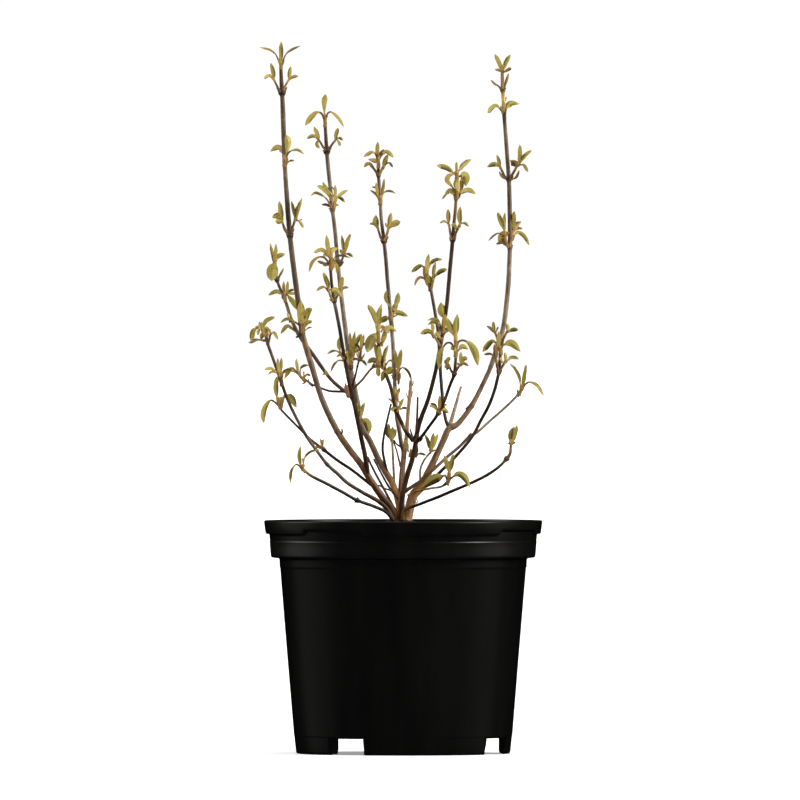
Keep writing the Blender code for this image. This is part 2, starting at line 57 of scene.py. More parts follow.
# ---------------------------------------------------------------- camera, floor, light
def stage():
    sc = bpy.context.scene
    cam_data = bpy.data.cameras.new("camera")
    cam_data.sensor_width = 36.0
    cam_data.lens = 36.0 * 18.0 / (800 * CELL)
    cam_data.clip_start = 0.5
    cam_data.clip_end = 400.0
    cam = bpy.data.objects.new("camera", cam_data)
    sc.collection.objects.link(cam)
    cam.location = EYE
    cam.rotation_euler = (Vector((EYE.x, 0, AIM_Z)) - EYE).to_track_quat("-Z", "Y").to_euler()
    sc.camera = cam

    bpy.ops.mesh.primitive_circle_add(vertices=96, radius=120.0, fill_type="NGON", location=(0, 0, 0))
    floor = bpy.context.object
    floor.name = "floor"
    m = bpy.data.materials.new("floor_pale")
    m.use_nodes = True
    nt = m.node_tree
    b = nt.nodes["Principled BSDF"]
    n = nt.nodes.new("ShaderNodeTexNoise")
    n.inputs["Scale"].default_value = 3.0
    r = nt.nodes.new("ShaderNodeValToRGB")
    r.color_ramp.elements[0].color = (0.83, 0.83, 0.825, 1)
    r.color_ramp.elements[1].color = (0.85, 0.85, 0.845, 1)
    nt.links.new(n.outputs["Fac"], r.inputs["Fac"])
    nt.links.new(r.outputs["Color"], b.inputs["Base Color"])
    b.inputs["Roughness"].default_value = 0.9
    b.inputs["Specular IOR Level"].default_value = 0.1
    # a table lit from below
    b.inputs["Emission Color"].default_value = (1, 1, 1, 1)
    b.inputs["Emission Strength"].default_value = 0.32
    floor.data.materials.append(m)

    w = bpy.data.worlds.new("studio")
    sc.world = w
    w.use_nodes = True
    nt = w.node_tree
    bg = nt.nodes["Background"]
    tc = nt.nodes.new("ShaderNodeTexCoord")
    sep = nt.nodes.new("ShaderNodeSeparateXYZ")
    ramp = nt.nodes.new("ShaderNodeValToRGB")
    ramp.color_ramp.interpolation = "EASE"
    ramp.color_ramp.elements[0].position = 0.05
    ramp.color_ramp.elements[0].color = (1.03, 1.03, 1.03, 1)
    ramp.color_ramp.elements[1].position = 0.20
    ramp.color_ramp.elements[1].color = (0.40, 0.40, 0.41, 1)
    nt.links.new(tc.outputs["Generated"], sep.inputs[0])
    nt.links.new(sep.outputs["Z"], ramp.inputs["Fac"])
    nt.links.new(ramp.outputs["Color"], bg.inputs["Color"])
    bg.inputs["Strength"].default_value = 1.0
    # the surroundings light the plant but aren't mirrored in it, as with dark flags beside a studio table
    w.cycles_visibility.glossy = False
    floor.visible_glossy = False

    # the broad suns light surfaces, the two low side ones only make the soft gloss on them
    for name, direction, strength, angle, colour, shows in (
        ("soft_sun_right", (0.95, -0.31, 0.50), 2.9, 26, (1.0, 0.985, 0.955), "both"),
        ("soft_sun_left", (-0.98, 0.21, 0.50), 1.3, 34, (1.0, 0.99, 0.98), "both"),
        ("soft_sun_front", (0.15, -1.0, 0.60), 0.45, 60, (1.0, 0.99, 0.98), "diffuse"),
        ("soft_sun_top", (0.10, 0.05, 1.0), 1.7, 70, (1.0, 0.995, 0.985), "both"),
        ("gloss_right", (1.0, -0.06, 0.12), 0.30, 46, (1.0, 0.96, 0.92), "gloss"),
        ("gloss_left", (-0.98, 0.17, 0.12), 0.34, 50, (1.0, 0.99, 0.96), "gloss"),
    ):
        d = bpy.data.lights.new(name, "SUN")
        d.energy = strength
        d.angle = math.radians(angle)
        d.color = colour
        o = bpy.data.objects.new(name, d)
        o.rotation_euler = Vector(direction).to_track_quat("Z", "Y").to_euler()
        o.location = Vector(direction) * 3
        o.visible_glossy = shows != "diffuse"
        o.visible_diffuse = shows != "gloss"
        sc.collection.objects.link(o)
    sc.view_settings.view_transform = "Standard"
    sc.view_settings.look = "None"


stage()


# ---------------------------------------------------------------- materials
def srgb(r, g, b):
    def lin(c):
        c /= 255.0
        return c / 12.92 if c <= 0.04045 else ((c + 0.055) / 1.055) ** 2.4
    return (lin(r), lin(g), lin(b))


def new_material(name, rough, spec):
    m = bpy.data.materials.new(name)
    m.use_nodes = True
    b = m.node_tree.nodes["Principled BSDF"]
    b.inputs["Roughness"].default_value = rough
    b.inputs["Specular IOR Level"].default_value = spec
    return m, m.node_tree, b


def tone_noise(nt, scale, detail, colours, coord="Object", stretch=(1, 1, 1), low=0.3, high=0.7):
    """Noise of one scale, run through a ramp of colours."""
    tc = nt.nodes.new("ShaderNodeTexCoord")
    mp = nt.nodes.new("ShaderNodeMapping")
    mp.inputs["Scale"].default_value = stretch
    n = nt.nodes.new("ShaderNodeTexNoise")
    n.inputs["Scale"].default_value = scale
    n.inputs["Detail"].default_value = detail
    r = nt.nodes.new("ShaderNodeValToRGB")
    r.color_ramp.elements[0].position = low
    r.color_ramp.elements[1].position = high
    r.color_ramp.elements[0].color = (*colours[0], 1)
    r.color_ramp.elements[1].color = (*colours[-1], 1)
    for i, c in enumerate(colours[1:-1]):
        e = r.color_ramp.elements.new(low + (high - low) * (i + 1) / (len(colours) - 1))
        e.color = (*c, 1)
    nt.links.new(tc.outputs[coord], mp.inputs["Vector"])
    nt.links.new(mp.outputs["Vector"], n.inputs["Vector"])
    nt.links.new(n.outputs["Fac"], r.inputs["Fac"])
    return n, r


def add_bump(nt, b, height_socket, strength, distance):
    bump = nt.nodes.new("ShaderNodeBump")
    bump.inputs["Strength"].default_value = strength
    bump.inputs["Distance"].default_value = distance
    nt.links.new(height_socket, bump.inputs["Height"])
    nt.links.new(bump.outputs["Normal"], b.inputs["Normal"])


def leaf_material(name, rgb, spread=0.10):
    m, nt, b = new_material(name, 0.50, 0.32)
    c = srgb(*rgb)
    dark = tuple(x * (1 - spread) for x in c)
    light = tuple(min(1.0, x * (1 + spread)) for x in c)
    n, r = tone_noise(nt, 110.0, 3.0, (dark, c, light))
    nt.links.new(r.outputs["Color"], b.inputs["Base Color"])
    fine = nt.nodes.new("ShaderNodeTexNoise")
    fine.inputs["Scale"].default_value = 420.0
    fine.inputs["Detail"].default_value = 2.0
    tc = nt.nodes.new("ShaderNodeTexCoord")
    nt.links.new(tc.outputs["Object"], fine.inputs["Vector"])
    add_bump(nt, b, fine.outputs["Fac"], 0.12, 0.0002)
    return m


TINTS = {
    "gold": leaf_material("leaf_gold", (151, 121, 54)),
    "amber": leaf_material("leaf_amber", (126, 94, 42)),
    "brown": leaf_material("leaf_brown", (86, 59, 29), 0.18),
    "pale": leaf_material("leaf_pale", (170, 152, 80)),
    "yellow": leaf_material("leaf_yellow", (150, 132, 57)),
    "olive": leaf_material("leaf_olive", (143, 127, 51)),
    "green": leaf_material("leaf_green", (133, 121, 41)),
    "dark": leaf_material("leaf_dark", (101, 88, 26)),
    "deep": leaf_material("leaf_deep", (66, 57, 17)),
}
TINT_NAMES = list(TINTS)
TINT_AT = {n: i for i, n in enumerate(TINT_NAMES)}


def bark_material():
    m, nt, b = new_material("bark", 0.46, 0.42)
    tint = nt.nodes.new("ShaderNodeAttribute")
    tint.attribute_name = "bark_tint"
    n, r = tone_noise(nt, 260.0, 5.0, ((0.40, 0.38, 0.36), (0.71, 0.70, 0.69), (1.04, 1.03, 1.02)), stretch=(1, 1, 0.35))
    mul = nt.nodes.new("ShaderNodeMix")
    mul.data_type = "RGBA"
    mul.blend_type = "MULTIPLY"
    mul.inputs["Factor"].default_value = 1.0
    nt.links.new(tint.outputs["Color"], mul.inputs["A"])
    nt.links.new(r.outputs["Color"], mul.inputs["B"])
    nt.links.new(mul.outputs["Result"], b.inputs["Base Color"])
    fine = nt.nodes.new("ShaderNodeTexNoise")
    fine.inputs["Scale"].default_value = 900.0
    fine.inputs["Detail"].default_value = 4.0
    tc = nt.nodes.new("ShaderNodeTexCoord")
    nt.links.new(tc.outputs["Object"], fine.inputs["Vector"])
    add_bump(nt, b, fine.outputs["Fac"], 0.5, 0.0003)
    return m


BARK = bark_material()


def compost_material():
    m, nt, b = new_material("compost_crumb", 0.95, 0.15)
    n, r = tone_noise(nt, 180.0, 8.0, (srgb(28, 18, 13), srgb(58, 40, 28), srgb(96, 70, 48)))
    nt.links.new(r.outputs["Color"], b.inputs["Base Color"])
    add_bump(nt, b, n.outputs["Fac"], 0.9, 0.002)
    return m


COMPOST = compost_material()


def pot_material():
    m, nt, b = new_material("pot_black", 0.32, 0.05)
    n, r = tone_noise(nt, 55.0, 4.0, (srgb(6, 6, 6), srgb(9, 9, 8)), stretch=(1, 1, 0.15))
    nt.links.new(r.outputs["Color"], b.inputs["Base Color"])
    fine = nt.nodes.new("ShaderNodeTexNoise")
    fine.inputs["Scale"].default_value = 700.0
    fine.inputs["Detail"].default_value = 3.0
    tc = nt.nodes.new("ShaderNodeTexCoord")
    nt.links.new(tc.outputs["Object"], fine.inputs["Vector"])
    add_bump(nt, b, fine.outputs["Fac"], 0.06, 0.0002)
    rough = nt.nodes.new("ShaderNodeMapRange")
    rough.inputs["To Min"].default_value = 0.28
    rough.inputs["To Max"].default_value = 0.36
    nt.links.new(n.outputs["Fac"], rough.inputs["Value"])
    nt.links.new(rough.outputs["Result"], b.inputs["Roughness"])
    # the collar and the lip are polished by handling and stacking
    sep = nt.nodes.new("ShaderNodeSeparateXYZ")
    nt.links.new(tc.outputs["Object"], sep.inputs[0])
    height = nt.nodes.new("ShaderNodeMapRange")
    height.inputs["From Min"].default_value = 0.16
    height.inputs["From Max"].default_value = 0.21
    nt.links.new(sep.outputs["Z"], height.inputs["Value"])
    gloss = nt.nodes.new("ShaderNodeValToRGB")
    gloss.color_ramp.elements[0].position = 0.0
    gloss.color_ramp.elements[1].position = 1.0
    gloss.color_ramp.elements[0].color = (0.05, 0.05, 0.05, 1)
    gloss.color_ramp.elements[1].color = (0.15, 0.15, 0.15, 1)
    for z, level in ((0.1750, 0.05), (0.1758, 0.27), (0.1905, 0.27), (0.1915, 0.08), (0.1975, 0.10), (0.1990, 0.15)):
        e = gloss.color_ramp.elements.new((z - 0.16) / 0.05)
        e.color = (level, level, level, 1)
    nt.links.new(height.outputs["Result"], gloss.inputs["Fac"])
    nt.links.new(gloss.outputs["Color"], b.inputs["Specular IOR Level"])
    return m


POT = pot_material()


# ---------------------------------------------------------------- mesh helpers
def make_object(name, verts, faces, mats, mat_index=None, smooth=None, colours=None):
    me = bpy.data.meshes.new(name)
    me.from_pydata([tuple(v) for v in verts], [], faces)
    for m in mats:
        me.materials.append(m)
    if mat_index is not None:
        me.polygons.foreach_set("material_index", mat_index)
    if colours is not None:
        a = me.attributes.new("bark_tint", "FLOAT_COLOR", "POINT")
        flat = np.ones((len(verts), 4), np.float32)
        flat[:, :3] = np.array(colours, np.float32)
        a.data.foreach_set("color", flat.ravel())
    me.update()
    me.shade_smooth()
    if smooth is not None:
        me.set_sharp_from_angle(angle=math.radians(smooth))
    ob = bpy.data.objects.new(name, me)
    bpy.context.scene.collection.objects.link(ob)
    return ob


def curve_points(points, step):
    """Even points along a centripetal Catmull-Rom curve; each point is a numpy row."""
    p = [np.array(q, float) for q in points]
    if len(p) == 1:
        return np.array(p)
    p = [p[0] * 2 - p[1]] + p + [p[-1] * 2 - p[-2]]
    fine = []
    for i in range(1, len(p) - 2):
        a, b, c, d = p[i - 1], p[i], p[i + 1], p[i + 2]
        ta = 0.0
        tb = ta + max(np.linalg.norm((b - a)[:3]), 1e-7) ** 0.5
        tc = tb + max(np.linalg.norm((c - b)[:3]), 1e-7) ** 0.5
        td = tc + max(np.linalg.norm((d - c)[:3]), 1e-7) ** 0.5
        for k in range(16):
            t = tb + (tc - tb) * k / 16
            a1 = a * ((tb - t) / (tb - ta)) + b * ((t - ta) / (tb - ta))
            a2 = b * ((tc - t) / (tc - tb)) + c * ((t - tb) / (tc - tb))
            a3 = c * ((td - t) / (td - tc)) + d * ((t - tc) / (td - tc))
            b1 = a1 * ((tc - t) / (tc - ta)) + a2 * ((t - ta) / (tc - ta))
            b2 = a2 * ((td - t) / (td - tb)) + a3 * ((t - tb) / (td - tb))
            fine.append(b1 * ((tc - t) / (tc - tb)) + b2 * ((t - tb) / (tc - tb)))
    fine.append(p[-2])
    fine = np.array(fine)
    run = np.concatenate([[0], np.cumsum(np.linalg.norm(np.diff(fine[:, :3], axis=0), axis=1))])
    n = max(2, int(round(run[-1] / step)))
    s = np.linspace(0, run[-1], n + 1)
    return np.stack([np.interp(s, run, fine[:, k]) for k in range(fine.shape[1])], axis=1)


def frames(path):
    """Unit tangents, and two unit directions across each of them that don't twist."""
    d = np.gradient(path, axis=0)
    t = d / np.maximum(np.linalg.norm(d, axis=1, keepdims=True), 1e-12)
    side = np.array([0.0, -1.0, 0.0])
    if abs(t[0] @ side) > 0.9:
        side = np.array([1.0, 0.0, 0.0])
    a = np.zeros_like(t)
    for i in range(len(t)):
        side = side - t[i] * (side @ t[i])
        side /= max(np.linalg.norm(side), 1e-12)
        a[i] = side
    return t, a, np.cross(t, a)


def lathe_tube(path, radii, sides, wobble=None):
    """Closed tube: rings along the path, each with its own radius, and rounded ends."""
    t, a, b = frames(path)
    n = len(path)
    ang = 2 * math.pi * np.arange(sides) / sides
    r = np.repeat(np.asarray(radii)[:, None], sides, axis=1)
    if wobble is not None:
        r = r * wobble
    ring = (path[:, None, :] + r[..., None] * (np.cos(ang)[None, :, None] * a[:, None, :] + np.sin(ang)[None, :, None] * b[:, None, :]))
    verts = [tuple(v) for v in ring.reshape(-1, 3)]
    faces = []
    for i in range(n - 1):
        for k in range(sides):
            k2 = (k + 1) % sides
            faces.append((i * sides + k, i * sides + k2, (i + 1) * sides + k2, (i + 1) * sides + k))
    verts.append(tuple(path[0] - t[0] * radii[0] * 0.35))
    verts.append(tuple(path[-1] + t[-1] * radii[-1] * 0.6))
    lo, hi = n * sides, n * sides + 1
    for k in range(sides):
        k2 = (k + 1) % sides
        faces.append((lo, k2, k))
        faces.append((hi, (n - 1) * sides + k, (n - 1) * sides + k2))
    return verts, faces


# ---------------------------------------------------------------- container
def in_notch(a, centres, half, ramp=0.30):
    """1 well inside a notch, 0 outside it, with a ramp between."""
    best = 0.0
    for c in centres:
        d = abs((a - c + 180.0) % 360.0 - 180.0)
        best = max(best, min(1.0, max(0.0, (half - d) / ramp + 0.5)))
    return best


def container():
    # (centre, half width) of the drainage notches, degrees from the front towards the right
    drains = ((-31.9, 10.4), (60.5, 10.6), (119.5, 10.6), (211.9, 10.4))
    reliefs = tuple((c, 14.2) for c in (-32.0, 59.5, 149.5, 239.5))
    drain_h = 0.0146
    angles = set(i * 360.0 / 240 for i in range(240))
    for c, half in drains + reliefs:
        for e in (-half, half):
            for k in (-1.6, -0.9, -0.45, -0.15, 0.0, 0.15, 0.45, 0.9, 1.6):
                angles.add(round((c + e + k) % 360.0, 4))
    angles = sorted(angles)
    lean = (0.1110 - 0.0966) / 0.1746
    wall = 0.0020
    verts, faces = [], []
    rows = 0
    for a in angles:
        f = max(in_notch(a, (c,), half, 1.8) for c, half in reliefs)
        g = max(in_notch(a, (c,), half) for c, half in drains)
        # the wall turns in a little along each upright edge of a notch
        edge = min(abs(abs((a - c + 180.0) % 360.0 - 180.0) - half) for c, half in drains)
        tuck = 0.0011 * max(0.0, 1 - edge / 1.7) ** 2 if g < 0.5 else 0.0
        lip = 0.1972 + (0.2009 - 0.1972) * f
        foot = drain_h * g
        r_foot = 0.0966 + lean * foot

        def body(z):
            r = 0.0966 + lean * z + 0.0002
            r -= 0.00025 if z < 0.0161 else 0.0
            r -= tuck * max(0.0, min(1.0, (0.0165 - z) / 0.002))
            return r

        collar_low, collar_top = 0.1189, 0.1203
        rim = 0.1238 + (0.1252 - 0.1238) * (lip - 0.1972) / (0.2094 - 0.1972)
        floor_z = 0.0165
        prof = [
            (0.0200, 0.0), (0.0212, 0.0008), (0.0255, 0.0150), (0.0268, floor_z), (0.0600, floor_z),
            (r_foot - wall - 0.0030, floor_z), (r_foot - wall - 0.0006, max(foot, 0.0) + 0.0010 if foot < floor_z - 0.002 else floor_z),
            (r_foot - wall, foot + 0.0004), (body(foot) - 0.0019, foot), (body(foot) - 0.0010, foot + 0.00025 * (1 - g)),
            (body(foot) - 0.0004, foot + 0.0009 * (1 - g) + 0.0002), (body(foot), foot + 0.0024 * (1 - g) + 0.0006),
        ]
        z0 = foot + 0.0024 * (1 - g) + 0.0006
        for z in (0.0152, 0.01595, 0.0163, 0.0166):
            if z > z0 + 0.0004:
                prof.append((body(z), z))
            else:
                z1 = z0 + 0.0001 + (z - 0.0148) * 0.05
                prof.append((body(z1), z1))
        for k in range(1, 11):
            z = 0.0175 + (0.1655 - 0.0175) * k / 10
            prof.append((body(z), z))
        prof += [
            (body(0.1668) + 0.0000, 0.1668), (body(0.1675) + 0.00035, 0.1675), (body(0.1680) + 0.00045, 0.1680),
            (body(0.1690) + 0.0003, 0.1690), (body(0.1728) + 0.0002, 0.1728),
            (0.1112, 0.1740), (0.1115, 0.1748), (0.1122, 0.17525), (0.1160, 0.1757), (0.1178, 0.1760),
            (0.1185, 0.1765), (0.1189, 0.1774), (0.1191, 0.1790), (0.1195, 0.1840), (0.1199, 0.1892),
            (0.12005, 0.1898), (0.12015, 0.19025), (0.12005, 0.1907), (0.1198, 0.1912),
            (0.1200, 0.1925), (0.1202, lip - 0.0022), (0.1203, lip - 0.0007), (0.1208, lip - 0.0001),
            (rim - 0.0010, lip + 0.0), (rim - 0.0003, lip + 0.0004), (rim, lip + 0.0011),
            (0.1246, 0.2040), (0.1250, 0.2075), (0.1250, 0.2084), (0.1247, 0.2090), (0.1241, 0.2094),
            (0.1215, 0.20945), (0.1196, 0.2093), (0.1189, 0.2088), (0.1185, 0.2078),
            (0.1176, 0.1950), (0.1169, 0.1790), (0.1163, 0.1783), (0.1092, 0.1752), (0.1089, 0.1738),
            (0.0966 - wall + lean * 0.06, 0.06), (0.0966 - wall + lean * 0.0185, 0.0190), (0.0600, 0.0185),
            (0.0250, 0.0185), (0.0236, 0.0170), (0.0190, 0.0024), (0.0182, 0.0020),
        ]
        rows = len(prof)
        t = math.radians(a)
        for r, z in prof:
            # a hint of the mould's unevenness, well under half a millimetre
            r += 0.00010 * math.sin(2 * t + 0.7) + 0.00006 * math.sin(5 * t + 30 * z)
            verts.append((r * math.sin(t), -r * math.cos(t), z))
    n = len(angles)
    for i in range(n):
        j = (i + 1) % n
        for k in range(rows - 1):
            faces.append((i * rows + k, j * rows + k, j * rows + k + 1, i * rows + k + 1))
    verts.append((0, 0, 0.0))
    verts.append((0, 0, 0.0020))
    for i in range(n):
        j = (i + 1) % n
        faces.append((n * rows, j * rows, i * rows))
        faces.append((n * rows + 1, i * rows + rows - 1, j * rows + rows - 1))
    # upright webs that run inwards from the sides of the notches
    for a, deep in ((-42.5, 0.0087), (-21.3, 0.0087), (49.7, 0.0050), (71.3, 0.0046),
                    (108.7, 0.0046), (130.3, 0.0050), (201.3, 0.0087), (222.5, 0.0087)):
        t = math.radians(a)
        out = Vector((math.sin(t), -math.cos(t), 0))
        side = Vector((math.cos(t), math.sin(t), 0)) * 0.0006
        base = len(verts)
        r0, r1 = 0.0952, 0.0966 - 0.0011 - deep
        for r, z in ((r0, 0.0007), (r1 + 0.0012, 0.0007), (r1, 0.0020), (r1, 0.0168), (r0, 0.0168)):
            verts.append(tuple(out * r + side + Vector((0, 0, z))))
            verts.append(tuple(out * r - side + Vector((0, 0, z))))
        ring = [0, 1, 2, 3, 4]
        faces.append(tuple(base + 2 * q for q in ring))
        faces.append(tuple(base + 2 * q + 1 for q in reversed(ring)))
        for q in ring:
            q2 = (q + 1) % 5
            faces.append((base + 2 * q, base + 2 * q + 1, base + 2 * q2 + 1, base + 2 * q2))
    ob = make_object("nursery_pot", verts, faces, [POT], smooth=38)
    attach(ob, "root")
    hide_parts("pot")


container()


# ---------------------------------------------------------------- compost
def compost():
    rings, sides = 46, 150
    verts, faces = [], []
    for i in range(rings + 1):
        r = 0.1166 * (i / rings) ** 0.8
        for k in range(sides):
            a = 2 * math.pi * k / sides
            x, y = r * math.cos(a), r * math.sin(a)
            h = 0.0016 * noise.noise(Vector((x * 38, y * 38, 1.0)))
            h += 0.0011 * noise.noise(Vector((x * 130, y * 130, 4.0)))
            h += 0.0008 * noise.noise(Vector((x * 330, y * 330, 9.0)))
            h += 0.0025 * math.exp(-((x + 0.003) ** 2 + y ** 2) / 0.0011)
            if i == rings:
                h = -0.004
            verts.append((x, y, 0.1895 + h))
    for i in range(rings):
        for k in range(sides):
            k2 = (k + 1) % sides
            faces.append((i * sides + k, i * sides + k2, (i + 1) * sides + k2, (i + 1) * sides + k))
    base = len(verts)
    low = [(0.1163, 0.1800), (0.1070, 0.1730), (0.0960, 0.0192), (0.0, 0.0192)]
    for r, z in low:
        for k in range(sides):
            a = 2 * math.pi * k / sides
            verts.append((r * math.cos(a), r * math.sin(a), z))
    prev = rings * sides
    for j in range(len(low)):
        for k in range(sides):
            k2 = (k + 1) % sides
            faces.append((prev + k, prev + k2, base + j * sides + k2, base + j * sides + k))
        prev = base + j * sides
    ob = make_object("compost_surface", verts, faces, [COMPOST], smooth=60)
    me = ob.data
    bm = bmesh.new()
    bm.from_mesh(me)
    bmesh.ops.remove_doubles(bm, verts=bm.verts, dist=1e-6)
    bmesh.ops.recalc_face_normals(bm, faces=bm.faces)
    bm.to_mesh(me)
    bm.free()
    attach(ob, "root")
    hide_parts("compost")

    # loose crumbs of bark and peat on the surface
    rnd = random.Random(11)
    verts, faces = [], []
    for _ in range(1500):
        r = 0.113 * math.sqrt(rnd.random())
        a = rnd.uniform(0, 2 * math.pi)
        x, y = r * math.cos(a), r * math.sin(a)
        if (x + 0.003) ** 2 + (y - 0.0014) ** 2 < 0.021 ** 2:
            continue
        long = rnd.random() < 0.25
        s = rnd.uniform(0.0006, 0.0019)
        size = Vector((s * (rnd.uniform(1.5, 3.0) if long else 1.0), s, s * rnd.uniform(0.5, 0.9)))
        spin = rnd.uniform(0, 2 * math.pi)
        base = len(verts)
        top = 0.1897 + 0.0016 * noise.noise(Vector((x * 38, y * 38, 1.0))) + s * 0.3
        for dx, dy, dz in ((1, 0, 0), (-1, 0, 0), (0, 1, 0), (0, -1, 0), (0, 0, 1), (0, 0, -1)):
            j = rnd.uniform(0.75, 1.2)
            px, py, pz = dx * size.x * j, dy * size.y * j, dz * size.z * j
            verts.append((x + px * math.cos(spin) - py * math.sin(spin), y + px * math.sin(spin) + py * math.cos(spin), top + pz))
        for f in ((0, 2, 4), (2, 1, 4), (1, 3, 4), (3, 0, 4), (2, 0, 5), (1, 2, 5), (3, 1, 5), (0, 3, 5)):
            faces.append(tuple(base + q for q in f))
    ob = make_object("compost_crumbs", verts, faces, [COMPOST])
    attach(ob, "root")


compost()

# ---------------------------------------------------------------- limbs
# Each limb: its widths (fraction of the way up, grid cells), its bark tones (fraction, tone), its nodes (row,
# swelling), its depths (column, row, mm) and its line on the front grid.
INK = (30, 23, 15)
UMBER = (44, 33, 24)
DARK = (58, 45, 33)
SEPIA = (74, 52, 31)
BROWN = (84, 68, 52)
MID = (98, 80, 62)
DRAB = (110, 95, 78)
GREY = (124, 106, 88)
PALE = (146, 126, 110)
OCHRE = (124, 98, 70)
TAN = (142, 108, 73)
CHESTNUT = (112, 80, 44)
GOLD = (130, 98, 52)
STRAW = (188, 158, 98)

